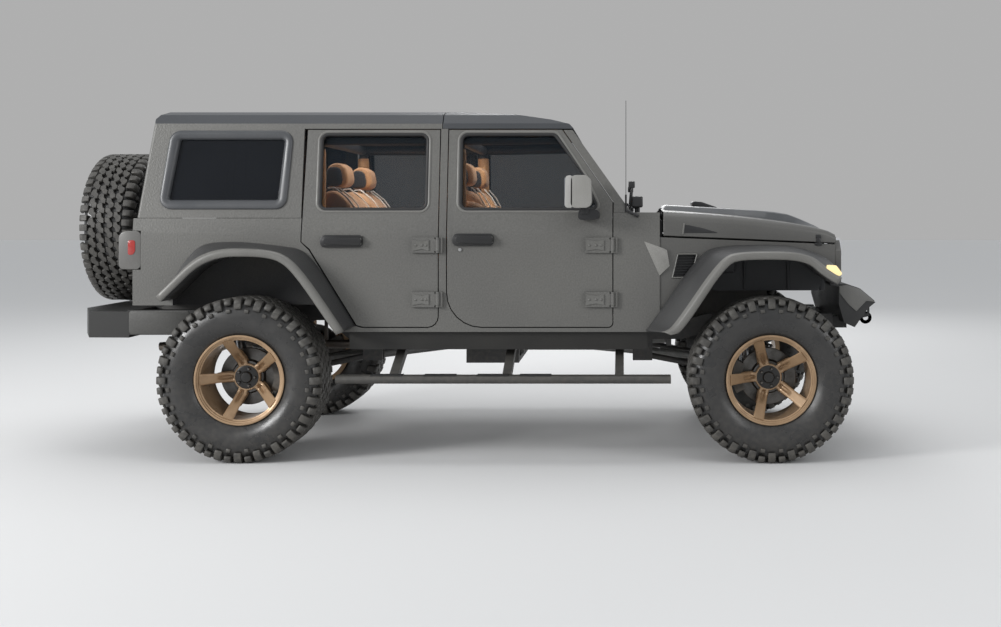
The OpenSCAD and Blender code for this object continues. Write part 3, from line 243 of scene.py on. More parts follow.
chassis_coat = coated("satin black chassis coat", (0.035, 0.035, 0.036), (0.055, 0.053, 0.05), rough=0.5,
                      dust=0.5, grain_scale=160, depth=0.15)
cast_iron = coated("cast iron", (0.05, 0.048, 0.046), (0.075, 0.07, 0.062), rough=0.6, grain_scale=220,
                   depth=0.3, dust=0.6)
floor_coat = coated("rubberised underbody coat", (0.03, 0.03, 0.031), (0.045, 0.043, 0.04), rough=0.75,
                    grain_scale=120, depth=0.4, dust=0.35)
dress(chassis_coat, "frame", "control_arms", "tie_rod")
dress(cast_iron, "front_axle", "rear_axle", "left_knuckle", "right_knuckle", "engine")
dress(floor_coat, "floor_pan")


def turned(bm, profile, axis=(0, 1, 0), centre=(0, 0, 0), steps=48):
    """Shape turned about an axis through centre: profile points are (radius, distance along the axis)."""
    along = Vector(axis).normalized()
    out = along.orthogonal().normalized()
    chain = [bm.verts.new(Vector(centre) + out * r + along * d) for r, d in profile]
    links = [bm.edges.new(pair) for pair in zip(chain, chain[1:])]
    made = bmesh.ops.spin(bm, geom=chain + links, cent=centre, axis=along, dvec=(0, 0, 0), angle=2 * pi,
                          steps=steps, use_merge=True, use_duplicate=False)
    bmesh.ops.remove_doubles(bm, verts=bm.verts, dist=1e-5)
    return made


def plate(bm, outline, lift, bevel=0.0, steps=2):
    """Plate on the outline's points, raised by a vector, with its edges rounded."""
    corners = [bm.verts.new(p) for p in outline]
    base = bmesh.ops.contextual_create(bm, geom=corners)["faces"]
    raised = bmesh.ops.extrude_face_region(bm, geom=base)["geom"]
    top = [g for g in raised if isinstance(g, bmesh.types.BMVert)]
    bmesh.ops.translate(bm, verts=top, vec=lift)
    whole = set(corners) | set(top)
    bmesh.ops.recalc_face_normals(bm, faces=list({f for v in whole for f in v.link_faces}))
    if bevel:
        edges = list({e for v in whole for e in v.link_edges})
        bmesh.ops.bevel(bm, geom=edges, offset=bevel, offset_type="OFFSET", segments=steps, profile=0.5,
                        affect="EDGES", clamp_overlap=True, material=-1)


def bar(bm, start, end, radius, steps=16):
    """Round bar between two points."""
    run = Vector(end) - Vector(start)
    made = bmesh.ops.create_cone(bm, cap_ends=True, segments=steps, radius1=radius, radius2=radius, depth=run.length)
    turn = run.to_track_quat("Z", "Y").to_matrix().to_4x4()
    bmesh.ops.transform(bm, matrix=Matrix.Translation((Vector(start) + Vector(end)) / 2) @ turn, verts=made["verts"])
    return made["verts"]


def box_block(bm, low, high, bevel=0.0, steps=2):
    """Block from its lowest corner to its highest, with its edges rounded."""
    (x0, y0, z0), (x1, y1, z1) = low, high
    plate(bm, [(x0, y0, z0), (x1, y0, z0), (x1, y1, z0), (x0, y1, z0)], (0, 0, z1 - z0), bevel, steps)


# ---- Coil springs ----
# Each is one bar of spring steel wound into six turns, powder coated dark grey,
# standing between its perch on the axle and its seat on the rail.

spring_coat = coated("spring coat", (0.09, 0.09, 0.095), (0.12, 0.12, 0.12), rough=0.35, dust=0.3)
spring_bm = bmesh.new()
for spring_x, spring_top in ((1.735, 0.775), (-1.273, 0.84)):
    for side in (1, -1):
        ring = bmesh.ops.create_circle(spring_bm, cap_ends=False, segments=10, radius=0.0075)["verts"]
        rings = list({e for v in ring for e in v.link_edges})
        bmesh.ops.rotate(spring_bm, verts=ring, matrix=Matrix.Rotation(radians(90), 3, "X"))
        bmesh.ops.translate(spring_bm, verts=ring, vec=(spring_x + 0.058, side * 0.48, 0.5355))
        turns = 6
        bmesh.ops.spin(spring_bm, geom=ring + rings, cent=(spring_x, side * 0.48, 0.5355), axis=(0, 0, 1),
                       dvec=(0, 0, (spring_top - 0.543) / (turns * 24)), angle=2 * pi * turns, steps=turns * 24,
                       use_merge=False, use_duplicate=False)
bmesh.ops.recalc_face_normals(spring_bm, faces=spring_bm.faces)
finished(spring_bm, "wound_springs", spring_coat, "root", ("coil_springs",))

# ---- Dampers, driveline, exhaust and fuel tank ----
# Plated damper bodies with bright rods, cast alloy gearbox and transfer case with
# painted shafts, heat-stained pipe and silencer, moulded black tank.

damper_finish = coated("damper alloy", (0.33, 0.33, 0.34), (0.24, 0.24, 0.24), rough=0.32, metallic=0.85, dust=0.25)
cast_alloy = coated("cast alloy", (0.2, 0.2, 0.2), (0.28, 0.28, 0.27), rough=0.55, metallic=0.6,
                    grain_scale=260, depth=0.3, dust=0.5)
pipe_steel = coated("stained pipe steel", (0.2, 0.17, 0.14), (0.13, 0.12, 0.12), rough=0.38, metallic=0.85,
                    cloud_scale=7, dust=0.4)
tank_plastic = coated("tank plastic", (0.028, 0.028, 0.03), (0.036, 0.036, 0.037), rough=0.55, dust=0.4)
dress(damper_finish, "shock_absorbers")
dress(cast_alloy, "driveline")
dress(pipe_steel, "exhaust")
dress(tank_plastic, "fuel_tank")

# ---- Body tub, doors and hard top ----
# Pressed and moulded panels in one matt warm-grey coat with a fine pebbled grain.
# Seams between them are real gaps; every pressed edge is rolled over a few millimetres.

body_coat = coated("pebbled warm grey body coat", (0.118, 0.116, 0.108), (0.104, 0.102, 0.096), rough=0.46,
                   spread=0.12, cloud_scale=1.6, grain_scale=105, depth=0.95, specular=0.45)
# The roof coat is the body's warm grey painted darker and bluer: painted shade on the hard top's upward faces and on
# the lift-off roof panel.
roof_shade_coat = coated("roof coat with painted shade", (0.033, 0.036, 0.041), (0.040, 0.043, 0.048), rough=0.54, spread=0.1,
                   cloud_scale=2, grain_scale=230, depth=0.3)
inner_black = coated("inner black trim", (0.016, 0.016, 0.018), (0.022, 0.022, 0.024), rough=0.7,
                     grain_scale=420, depth=0.2)
# The whole cowl takes the black trim; on its side skin between the door and bonnet gaps that black is painted shade.
dress(inner_black, "cowl")
softened("body_sides", "pressed_tub_sides", body_coat, "root", 0.0035, lining=inner_black,
         tail=0.028)
softened("windscreen_frame", "screen_frame", body_coat, "root", 0.004, lining=inner_black)
hard_top = softened("hard_top", "moulded_hard_top", body_coat, "root", 0.007, lining=inner_black,
                    tail=0.030)
hard_top.data.materials.append(roof_shade_coat)
# Faces above the hard top's upper bend take the darker roof coat: painted shade.
for face in hard_top.data.polygons:
    if face.center.z > 1.931 and face.material_index == 0:
        face.material_index = 2
softened("front_roof", "lift_off_roof_panel", roof_shade_coat, "root", 0.010, steps=3, lining=inner_black)
softened("tailgate", "pressed_tailgate", body_coat, "tailgate", 0.004, lining=inner_black)
for place in ("front_left", "front_right", "rear_left", "rear_right"):
    softened(place + "_door", place + "_pressed_door", body_coat, place + "_door", 0.005,
             lining=inner_black)


def skin(z):
    """Half width of the cab at a height: upright to the belt line, then leaning in."""
    return 0.8 - max(0.0, z - 1.29) * 0.1 / 0.648


def rounded(corners, steps=5):
    """Closed outline of corners (x, z, radius), each rounded to its radius."""
    points = []
    for i, (x, z, radius) in enumerate(corners):
        here = Vector((x, z))
        before = (Vector(corners[i - 1][:2]) - here).normalized()
        after = (Vector(corners[(i + 1) % len(corners)][:2]) - here).normalized()
        half = before.angle(after) / 2
        middle = here + (before + after).normalized() * radius / sin(half)
        first = here + before * radius * cos(half) / sin(half) - middle
        last = here + after * radius * cos(half) / sin(half) - middle
        for k in range(steps + 1):
            points.append(middle + first.lerp(last, k / steps).normalized() * radius)
    return points


def hoop(name, points, side, stand, radius, material, body, flat=1.0):
    """Bead that follows a window's outline on the leaning side, standing off the skin."""
    curve = bpy.data.curves.new(name, "CURVE")
    curve.dimensions = "3D"
    curve.bevel_depth = radius
    curve.bevel_resolution = 3
    line = curve.splines.new("POLY")
    line.points.add(len(points) - 1)
    for held, (x, z) in zip(line.points, points):
        held.co = (x, side * (skin(z) + stand), z, 1)
    line.use_cyclic_u = True
    curve.materials.append(material)
    made = bpy.data.objects.new(name, curve)
    bpy.context.collection.objects.link(made)
    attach(made, body)
    return made


# ---- Window beads and glass ----
# Each pane sits in a black rubber seal behind a raised bead, the body's grey painted lighter as a painted highlight.
# Door panes are dark smoked glass; the quarter and rear panes are nearly black privacy glass.

seal_rubber = coated("seal rubber", (0.012, 0.012, 0.013), (0.018, 0.018, 0.018), rough=0.62)
bead_highlight_coat = coated("bead coat with painted highlight", (0.150, 0.147, 0.137), (0.130, 0.128, 0.120), rough=0.40, grain_scale=210, depth=0.2)
front_pane = [(-0.054, 1.428, 0.045), (0.767, 1.428, 0.03), (0.677, 1.638, 0.03), (0.5055, 1.88, 0.045),
              (-0.054, 1.88, 0.045)]
rear_pane = [(-0.870, 1.428, 0.045), (-0.236, 1.428, 0.045), (-0.236, 1.88, 0.045), (-0.870, 1.88, 0.045)]
quarter_pane = [(-1.783, 1.448, 0.055), (-1.067, 1.448, 0.055), (-1.040, 1.883, 0.055), (-1.733, 1.883, 0.055)]


def grown(corners, by):
    """Outline pushed outwards from its middle by an even margin."""
    middle = sum((Vector(c[:2]) for c in corners), Vector((0, 0))) / len(corners)
    wide = []
    for x, z, radius in corners:
        wide.append((x + (by if x > middle.x else -by), z + (by if z > middle.y else -by), radius + by))
    return wide


def swept(bm, rows):
    """Sheet through rows of points, every row as long as the next."""
    wide, deep = len(rows[0]), len(rows)
    sheet = bmesh.ops.create_grid(bm, x_segments=wide - 1, y_segments=deep - 1, size=1)["verts"]
    for v in sheet:
        v.co = Vector(rows[round((v.co.y + 1) / 2 * (deep - 1))][round((v.co.x + 1) / 2 * (wide - 1))])


quarter_frame_coat = coated("quarter frame coat", (0.052, 0.055, 0.060), (0.064, 0.066, 0.070), rough=0.36,
                            grain_scale=230, depth=0.2)
for side, hand in ((1, "left"), (-1, "right")):
    for label, outline, body in (("front", front_pane, f"front_{hand}_door"), ("rear", rear_pane, f"rear_{hand}_door"),
                                 ("quarter", quarter_pane, "root")):
        hoop(f"{hand}_{label}_window_seal", rounded(grown(outline, -0.006)), side, -0.010, 0.012, seal_rubber,
             body)
    ring = []
    for margin, stand in ((0.014, -0.004), (0.012, 0.006), (0.004, 0.011), (-0.024, 0.008), (-0.036, -0.002),
                          (-0.042, -0.014), (-0.042, -0.028)):
        edge = rounded(grown(quarter_pane, margin), 8)
        ring.append([(x, side * (skin(z) + stand), z) for x, z in edge + edge[:1]])
    bm = bmesh.new()
    swept(bm, ring)
    bmesh.ops.remove_doubles(bm, verts=bm.verts, dist=1e-5)
    bmesh.ops.recalc_face_normals(bm, faces=bm.faces)
    if sum(f.normal.y for f in bm.faces) * side < 0:
        bmesh.ops.reverse_faces(bm, faces=bm.faces)
    finished(bm, f"{hand}_quarter_window_frame", quarter_frame_coat, "root", smooth=60)
    hoop(f"{hand}_rear_outer_bead", rounded(grown(rear_pane, 0.008)), side, -0.004, 0.009, bead_highlight_coat,
         f"rear_{hand}_door")
    hoop(f"{hand}_front_outer_bead", rounded(grown(front_pane, 0.008)), side, -0.004, 0.009, bead_highlight_coat,
         f"front_{hand}_door")


def glazed(name, colour, alpha, rough=0.03):
    """Flat tinted pane: part of the light passes, the rest shows the tint and the sky's gloss."""
    material, tree = blank_material(name)
    place = add(tree, "TexCoord", {}).outputs["Object"]
    haze = add(tree, "TexNoise", {"Vector": place, "Scale": 3.0, "Detail": 4.0}).outputs[0]
    shine = add(tree, "MapRange", {"Value": haze, 1: 0.3, 2: 0.7, 3: rough, 4: rough + 0.05}).outputs[0]
    tone = add(tree, "Mix", {0: haze, 6: (*colour, 1), 7: (*(c * 1.5 for c in colour), 1)},
               data_type="RGBA").outputs[2]
    glass = add(tree, "BsdfPrincipled", {"Base Color": tone, "Roughness": shine, "Alpha": alpha,
                                         "Specular IOR Level": 0.16})
    add(tree, "OutputMaterial", {"Surface": glass.outputs[0]})
    return material


smoked_glass = glazed("smoked glass", (0.006, 0.009, 0.012), 0.46)
privacy_glass = glazed("privacy glass", (0.007, 0.008, 0.010), 0.90)
dress(smoked_glass, "front_left_glass", "front_right_glass", "rear_left_glass", "rear_right_glass", "windscreen")
dress(privacy_glass, "cargo_glass")

# ---- Door handles, locks and hinge bolts ----
# Moulded black paddle handles on oval bases, a bright key barrel under each front
# one, and three domed bolts through every leaf of the body-coloured hinges.

handle_plastic = coated("handle plastic", (0.008, 0.008, 0.009), (0.012, 0.012, 0.012), rough=0.42, grain_scale=500,
                        depth=0.1)
hinge_coat = coated("cast hinge coat", (0.135, 0.133, 0.125), (0.11, 0.108, 0.10), rough=0.36, grain_scale=300, depth=0.3)
bright_steel = coated("bright steel", (0.55, 0.55, 0.54), (0.42, 0.42, 0.42), rough=0.25, metallic=1.0)
for side, hand in ((1, "left"), (-1, "right")):
    for end, x0, x1, z0 in (("front", -0.084, 0.146, 1.229), ("rear", -0.845, -0.610, 1.220)):
        bm = bmesh.new()
        # The black oval base is partly the moulded base and partly painted shade for the recess behind the grip.
        base = rounded([(x0 - 0.004, z0 - 0.004, 0.026), (x1 + 0.004, z0 - 0.004, 0.020),
                        (x1 + 0.004, z0 + 0.066, 0.020), (x0 - 0.004, z0 + 0.066, 0.030)])
        plate(bm, [(x, 0.797, z) for x, z in base], (0, 0.020, 0), 0.003)
        grip = rounded([(x0 + 0.018, z0 + 0.014, 0.014), (x1 + 0.001, z0 + 0.006, 0.02),
                        (x1 + 0.001, z0 + 0.052, 0.02), (x0 + 0.018, z0 + 0.050, 0.014)])
        plate(bm, [(x, 0.814, z) for x, z in grip], (0, 0.023, 0), 0.006, 3)
        bmesh.ops.scale(bm, verts=bm.verts, vec=(1, side, 1))
        bmesh.ops.recalc_face_normals(bm, faces=bm.faces)
        finished(bm, f"{hand}_{end}_door_handle", handle_plastic, f"{end}_{hand}_door")
    bm = bmesh.new()
    turned(bm, [(0, 0.808), (0.004, 0.808), (0.0095, 0.807), (0.011, 0.803), (0.011, 0.797)],
           centre=(-0.044, 0, 1.202), steps=20)
    bmesh.ops.scale(bm, verts=bm.verts, vec=(1, side, 1))
    bmesh.ops.recalc_face_normals(bm, faces=bm.faces)
    finished(bm, f"{hand}_key_barrel", bright_steel, f"front_{hand}_door")
    for end, pin_x, reach in (("front", 0.838, 0.155), ("rear", -0.170, 0.147)):
        bm = bmesh.new()
        for z in (0.871, 1.184):
            waist = [(-reach, 0.012), (-reach * 0.62, 0.022), (-0.052, 0.014), (-0.052, 0.074), (-reach * 0.62, 0.066),
                     (-reach, 0.076)]
            rim = [(pin_x + dx, 0.8165, z + dz) for dx, dz in waist]
            inner = [(pin_x - reach / 2 - 0.026 + (dx + reach / 2 + 0.026) * 0.86, 0.8215, z + 0.044 + (dz - 0.044) * 0.72)
                     for dx, dz in waist]
            low = [bm.verts.new(p) for p in rim]
            top = [bm.verts.new((x, 0.8230, z)) for x, y, z in rim]
            dip = [bm.verts.new(p) for p in inner]
            for k in range(6):
                bm.faces.new((low[k - 1], low[k], top[k], top[k - 1]))
                bm.faces.new((top[k - 1], top[k], dip[k], dip[k - 1]))
            floor = bm.faces.new(dip)
            bmesh.ops.inset_individual(bm, faces=[floor], thickness=0.004, depth=-0.003)
            for x, up in ((pin_x - reach + 0.020, 0.044), (pin_x - reach * 0.62, 0.044), (pin_x - 0.068, 0.044)):
                turned(bm, [(0, 0.8265), (0.004, 0.8262), (0.0075, 0.8235), (0.0085, 0.8185)],
                       centre=(x, 0, z + up), steps=12)
        bmesh.ops.scale(bm, verts=bm.verts, vec=(1, side, 1))
        bmesh.ops.recalc_face_normals(bm, faces=bm.faces)
        finished(bm, f"{hand}_{end}_hinge_castings", hinge_coat, f"{end}_{hand}_door")

# ---- Mirrors ----
# Pebbled grey shell over a black foot bolted to the door, with a bright glass on its
# rear face and a smooth lighter rim.

mirror_shell = coated("mirror shell", (0.27, 0.265, 0.25), (0.22, 0.215, 0.20), rough=0.42, grain_scale=260,
                      depth=0.35)
mirror_rim = coated("mirror rim", (0.36, 0.355, 0.34), (0.32, 0.315, 0.30), rough=0.35, grain_scale=260, depth=0.15)
mirror_glass = coated("mirror glass", (0.6, 0.62, 0.64), (0.55, 0.57, 0.6), rough=0.06, spread=0.02, metallic=1.0,
                      depth=0.0)
for side, hand in ((1, "left"), (-1, "right")):
    bm = bmesh.new()
    shell = rounded([(0.599, 1.441, 0.03), (0.722, 1.443, 0.035), (0.716, 1.626, 0.04), (0.601, 1.626, 0.03)])
    plate(bm, [(x, 0.862, z) for x, z in shell], (0, 0.138, 0), 0.014, 4)
    bmesh.ops.scale(bm, verts=bm.verts, vec=(1, side, 1))
    bmesh.ops.recalc_face_normals(bm, faces=bm.faces)
    finished(bm, f"{hand}_mirror_shell", mirror_shell, f"front_{hand}_door", (f"{hand}_mirror",))
    bm = bmesh.new()
    rim = rounded([(0.570, 1.444, 0.016), (0.612, 1.441, 0.012), (0.612, 1.626, 0.012), (0.574, 1.622, 0.016)])
    plate(bm, [(x, 0.860, z) for x, z in rim], (0, 0.140, 0), 0.008, 3)
    bmesh.ops.scale(bm, verts=bm.verts, vec=(1, side, 1))
    bmesh.ops.recalc_face_normals(bm, faces=bm.faces)
    finished(bm, f"{hand}_mirror_rim", mirror_rim, f"front_{hand}_door")
    bm = bmesh.new()
    box_block(bm, (0.5685, 0.872, 1.455), (0.5715, 0.988, 1.612), 0.001)
    bmesh.ops.scale(bm, verts=bm.verts, vec=(1, side, 1))
    bmesh.ops.recalc_face_normals(bm, faces=bm.faces)
    finished(bm, f"{hand}_mirror_glass", mirror_glass, f"front_{hand}_door")
    bm = bmesh.new()
    foot = rounded([(0.640, 1.373, 0.02), (0.765, 1.378, 0.02), (0.760, 1.430, 0.02), (0.700, 1.437, 0.02),
                    (0.645, 1.430, 0.02)])
    plate(bm, [(x, skin(1.4) + 0.0005, z) for x, z in foot], (0, 0.155, 0), 0.010, 3)
    box_block(bm, (0.655, 0.900, 1.405), (0.705, 0.945, 1.465), 0.008)
    bmesh.ops.scale(bm, verts=bm.verts, vec=(1, side, 1))
    bmesh.ops.recalc_face_normals(bm, faces=bm.faces)
    finished(bm, f"{hand}_mirror_foot", handle_plastic, f"front_{hand}_door")

# ---- Bonnet, wings and flares ----
# Clamshell bonnet with a raised centre and small black scoop, held by rubber latches;
# wings tapering to the nose, with a facet painted bright as a painted highlight and a dark meshed vent behind each
# arch.
# The wings, bonnet sides and bonnet top are the body's grey painted darker: painted shade.

# The bonnet top coat is the body's grey painted darker and bluer: painted shade.
bonnet_top_shade_coat = coated("bonnet top with painted shade", (0.046, 0.049, 0.053), (0.056, 0.059, 0.063), rough=0.33, spread=0.1,
                     cloud_scale=2, grain_scale=230, depth=0.22)
# The wing coat is the body's warm grey painted darker: painted shade on the wings, the bonnet sides and the grille.
wing_shade_coat = coated("wing coat", (0.090, 0.088, 0.083), (0.080, 0.078, 0.073), rough=0.45, spread=0.1,
                   cloud_scale=2, grain_scale=210, depth=0.35)
# The flare moulding is near black where its upper faces fall in shade and lighter on its rolled lip where it catches
# the light: painted shade and painted highlight.
flare_shade_plastic = coated("flare plastic with painted shade", (0.030, 0.030, 0.031), (0.040, 0.040, 0.040), rough=0.40, spread=0.15,
                    cloud_scale=3, grain_scale=420, depth=0.3)
flare_lip_highlight = coated("flare lip with painted highlight", (0.150, 0.147, 0.137), (0.125, 0.122, 0.113), rough=0.38, grain_scale=300, depth=0.2)


def along(line, x):
    """Height of a side-view line at x."""
    for (x0, z0), (x1, z1) in zip(line, line[1:]):
        if x <= x1:
            return z0 + (z1 - z0) * max(0.0, x - x0) / (x1 - x0)
    return line[-1][1]


def bay_half(x):
    """Half width of the engine bay, tapering to the nose."""
    return 0.795 - (x - 1.1093) * 0.1489


shoulder_line = [(1.130, 1.425), (1.353, 1.411), (1.530, 1.396), (1.707, 1.377), (1.884, 1.354), (2.000, 1.334),
                 (2.102, 1.312), (2.150, 1.298)]
ridge_line = [(1.130, 1.440), (1.150, 1.458), (1.163, 1.463), (1.400, 1.450), (1.735, 1.429), (1.830, 1.421),
              (1.917, 1.407), (2.000, 1.374), (2.080, 1.338), (2.150, 1.304)]
stations = [1.130, 1.138, 1.150, 1.163] + [1.163 + 0.977 * k / 34 for k in range(1, 35)] + [2.145, 2.150]
rows = []
for x in stations:
    edge = bay_half(x) + 0.0015
    foot = 1.281 - 0.045 * (x - 1.130) / 1.02
    top = along(shoulder_line, x)
    ridge = along(ridge_line, x)
    turn = 0.075 - 0.035 * (x - 1.130)
    end = max(0.0, x - 2.10) / 0.05
    half = [(edge - 0.006, foot), (edge, foot + 0.004), (edge, foot + 0.4 * (top - turn * 0.8 - foot))]
    half += [(edge - turn + turn * sin(radians(a)), top - turn * 0.8 + turn * 0.8 * cos(radians(a)))
             for a in (90, 75, 60, 45, 30, 15, 0)]
    half += [(0.55 * (edge - turn) + 0.45 * 0.352, top + 0.004), (0.358, top + 0.007), (0.345, top + 0.010),
             (0.312, ridge - 0.007), (0.296, ridge - 0.001), (0.15, ridge + 0.003), (0.0, ridge + 0.004)]
    half = [(y, z - end * 0.010 * (z > foot + 0.02)) for y, z in half]
    rows.append([(x, -y, z) for y, z in half] + [(x, y, z) for y, z in reversed(half[:-1])])
rows.append([(2.153, y, z if z < 1.275 else max(1.268, z - 0.022)) for x, y, z in rows[-1]])
bm = bmesh.new()
swept(bm, rows)
# Faces on the raised top take the darker bluish coat: painted shade. The sides keep the wing coat.
for face in bm.faces:
    centre = face.calc_center_median()
    if abs(centre.y) < 0.345 and centre.z > along(shoulder_line, centre.x):
        face.material_index = 1
bmesh.ops.recalc_face_normals(bm, faces=bm.faces)
if sum(f.normal.z for f in bm.faces) < 0:
    bmesh.ops.reverse_faces(bm, faces=bm.faces)
pressed_bonnet = finished(bm, "clamshell_bonnet", [wing_shade_coat, bonnet_top_shade_coat], "bonnet", ("bonnet",), smooth=30)
bonnet_wall = pressed_bonnet.modifiers.new("pressed wall", "SOLIDIFY")
bonnet_wall.thickness = 0.006
bonnet_wall.offset = -1
scoop_black = coated("scoop black", (0.012, 0.012, 0.013), (0.018, 0.018, 0.019), rough=0.36, grain_scale=400, depth=0.2)
bm = bmesh.new()
scoop_side = [(1.334, 1.446), (1.334, 1.484), (1.346, 1.489), (1.392, 1.486), (1.499, 1.448)]
plate(bm, [(x, -0.118, z) for x, z in scoop_side], (0, 0.236, 0), 0.006, 3)
for side in (1, -1):
    for y in (0.045, 0.075):
        plate(bm, [(1.346, side * y, 1.4885), (1.392, side * y, 1.4855), (1.44, side * y, 1.470), (1.43, side * y, 1.466)],
              (0, side * 0.010, 0), 0.001)
    hinge = [(1.101, 1.390), (1.101, 1.412), (1.150, 1.418), (1.172, 1.420), (1.172, 1.396)]
    plate(bm, [(x, side * 0.541, z) for x, z in hinge], (0, side * 0.018, 0), 0.002)
    vent = [(1.244, 1.298), (1.251, 1.345), (1.280, 1.343), (1.360, 1.326), (1.447, 1.300), (1.440, 1.297)]
    low_edge = [(x, side * (bay_half(x) - 0.002), z) for x, z in vent]
    plate(bm, low_edge, (0, side * 0.0055, 0), 0.001)
finished(bm, "bonnet_scoop_and_side_vents", scoop_black, "bonnet")
# The pale strip at each bonnet side vent's edge is a painted highlight.
bm = bmesh.new()
for side in (1, -1):
    frame_edge = [(1.236, 1.290), (1.245, 1.354), (1.254, 1.354), (1.249, 1.298), (1.247, 1.290)]
    plate(bm, [(x, side * (bay_half(x) - 0.002), z) for x, z in frame_edge], (0, side * 0.008, 0), 0.0015)
finished(bm, "bonnet_vent_edges", bead_highlight_coat, "bonnet")
bm = bmesh.new()
for side in (1, -1):
    y = bay_half(2.045)
    box_block(bm, (2.030, min(side * (y - 0.010), side * (y + 0.006)), 1.262), (2.064, max(side * (y - 0.010), side * (y + 0.006)), 1.287), 0.004)
    box_block(bm, (2.036, min(side * y, side * (y + 0.012)), 1.236), (2.058, max(side * y, side * (y + 0.012)), 1.268), 0.005)
    box_block(bm, (2.026, min(side * (y - 0.012), side * (y + 0.008)), 1.222), (2.068, max(side * (y - 0.012), side * (y + 0.008)), 1.240), 0.003)
finished(bm, "bonnet_latches", scoop_black, "root")

# ---- Wing facets, vents, cowl fittings and aerial ----
# Raised facet across the cowl seam painted bright as a painted highlight, meshed vent with a rolled edge painted
# lighter as a painted highlight, work-lamp pods on posts at the cowl corners, wiper arms along the screen's foot, and a
# thin whip aerial.

# The facet is the body's grey painted much lighter: painted highlight.
facet_highlight_coat = coated("wing facet with painted highlight", (0.24, 0.235, 0.22), (0.19, 0.186, 0.175), rough=0.40, grain_scale=210, depth=0.35)
bm = bmesh.new()
bm_dark = bmesh.new()
bm_edge = bmesh.new()
for side in (1, -1):
    facet = [(1.018, 1.250), (1.124, 1.212), (1.150, 1.200), (1.166, 1.108), (1.107, 1.052)]
    plate(bm, [(x, side * 0.7945, z) for x, z in facet], (0, side * 0.0085, 0), 0.002)
    vent = [(1.182, 1.040), (1.292, 1.040), (1.326, 1.176), (1.214, 1.176)]
    for k in range(9):
        share = (k + 0.5) / 9
        z = 1.040 + 0.136 * share
        start, stop = 1.182 + 0.032 * share, 1.292 + 0.034 * share
        bar(bm_dark, (start, side * (bay_half(start) - 0.016), z), (stop, side * (bay_half(stop) - 0.016), z), 0.0035, 8)
    # The vent's rolled edge takes the pale bead coat: painted highlight.
    ring = [(x, side * (bay_half(x) + 0.0015), z) for x, z in vent]
    for a, b in zip(ring, ring[1:] + ring[:1]):
        bar(bm_edge, a, b, 0.0042, 10)
    bm_dark_back = [(x, side * (bay_half(x) - 0.034), z) for x, z in
                    ((1.170, 1.030), (1.304, 1.030), (1.338, 1.186), (1.200, 1.186))]
    plate(bm_dark, bm_dark_back, (0, side * 0.004, 0))
    bar(bm_dark, (0.935, side * 0.700, 1.416), (0.952, side * 0.690, 1.592), 0.008)
    bar(bm_dark, (0.985, side * 0.690, 1.418), (0.985, side * 0.690, 1.470), 0.010)
    box_block(bm_dark, (0.945, min(side * 0.655, side * 0.725), 1.446), (1.012, max(side * 0.655, side * 0.725), 1.512),
              0.010, 3)
    box_block(bm_dark, (0.928, min(side * 0.675, side * 0.705), 1.560), (0.966, max(side * 0.675, side * 0.705), 1.600),
              0.006)
    for k in range(5):
        box_block(bm_dark, (0.938, min(side * 0.662, side * 0.718), 1.452 + k * 0.011),
                  (0.948, max(side * 0.662, side * 0.718), 1.456 + k * 0.011), 0.001)
    bar(bm_dark, (0.952, side * 0.10, 1.424), (0.952, side * 0.10, 1.450), 0.011)
    bar(bm_dark, (0.952, side * 0.10, 1.447), (0.922, side * 0.600, 1.466), 0.0055)
    bar(bm_dark, (0.918, side * 0.22, 1.472), (0.922, side * 0.640, 1.468), 0.0035)
bar(bm_dark, (0.986, -0.790, 1.395), (0.913, -0.780, 1.430), 0.009)
bar(bm_dark, (0.913, -0.780, 1.418), (0.913, -0.780, 1.520), 0.0055)
bar(bm_dark, (0.913, -0.780, 1.500), (0.913, -0.780, 2.064), 0.0018, 8)
finished(bm, "wing_highlight_facets", facet_highlight_coat, "root")
finished(bm_dark, "cowl_fittings_and_aerial", scoop_black, "root")
finished(bm_edge, "wing_vent_edges", bead_highlight_coat, "root")

# ---- Bay liners ----
# Black pressed panels inside the front wings, with the radiator and its shroud across the nose,
# close the space over the wheels; a splash apron closes the cowl.

liner_black = coated("liner black", (0.016, 0.017, 0.019), (0.024, 0.025, 0.027), rough=0.55, grain_scale=200, depth=0.3,
                     dust=0.25)
bm = bmesh.new()
for side in (1, -1):
    liner = [(1.125, 0.952), (2.060, 0.952), (2.110, 1.060), (2.120, 1.225), (1.135, 1.268)]
    plate(bm, [(x, side * 0.560, z) for x, z in liner], (0, side * 0.006, 0))
    for x in (1.35, 1.62, 1.88):
        bar(bm, (x, side * 0.569, 0.960), (x, side * 0.569, 1.24), 0.009, 10)
    box_block(bm, (1.40, min(side * 0.567, side * 0.615), 1.060), (1.56, max(side * 0.567, side * 0.615), 1.180), 0.012)
box_block(bm, (2.070, -0.555, 0.952), (2.100, 0.555, 1.235), 0.004)
box_block(bm, (1.1115, -0.740, 1.150), (1.126, 0.740, 1.372), 0.002)
finished(bm, "inner_wing_liners", liner_black, "root")

# ---- Wings, grille and flares ----
# Wings tapering to the nose and a slotted grille panel, both in the body's grey painted darker as painted shade,
# and moulded arch flares with a rolled lip painted lighter as a painted highlight.

softened("fenders", "tapered_wings", wing_shade_coat, "root", 0.004)
softened("grille", "slotted_grille", wing_shade_coat, "root", 0.006)


def arch_point(wheel_x, along, up):
    return Vector((wheel_x + along * 0.4675, 0.4675 + up * 0.4675))


def eased(points, times=3):
    """Open line with its corners cut again and again until they run smooth."""
    for _ in range(times):
        cut = [points[0]]
        for a, b in zip(points, points[1:]):
            cut += [a.lerp(b, 0.22), a.lerp(b, 0.78)]
        points = cut + [points[-1]]
    return points


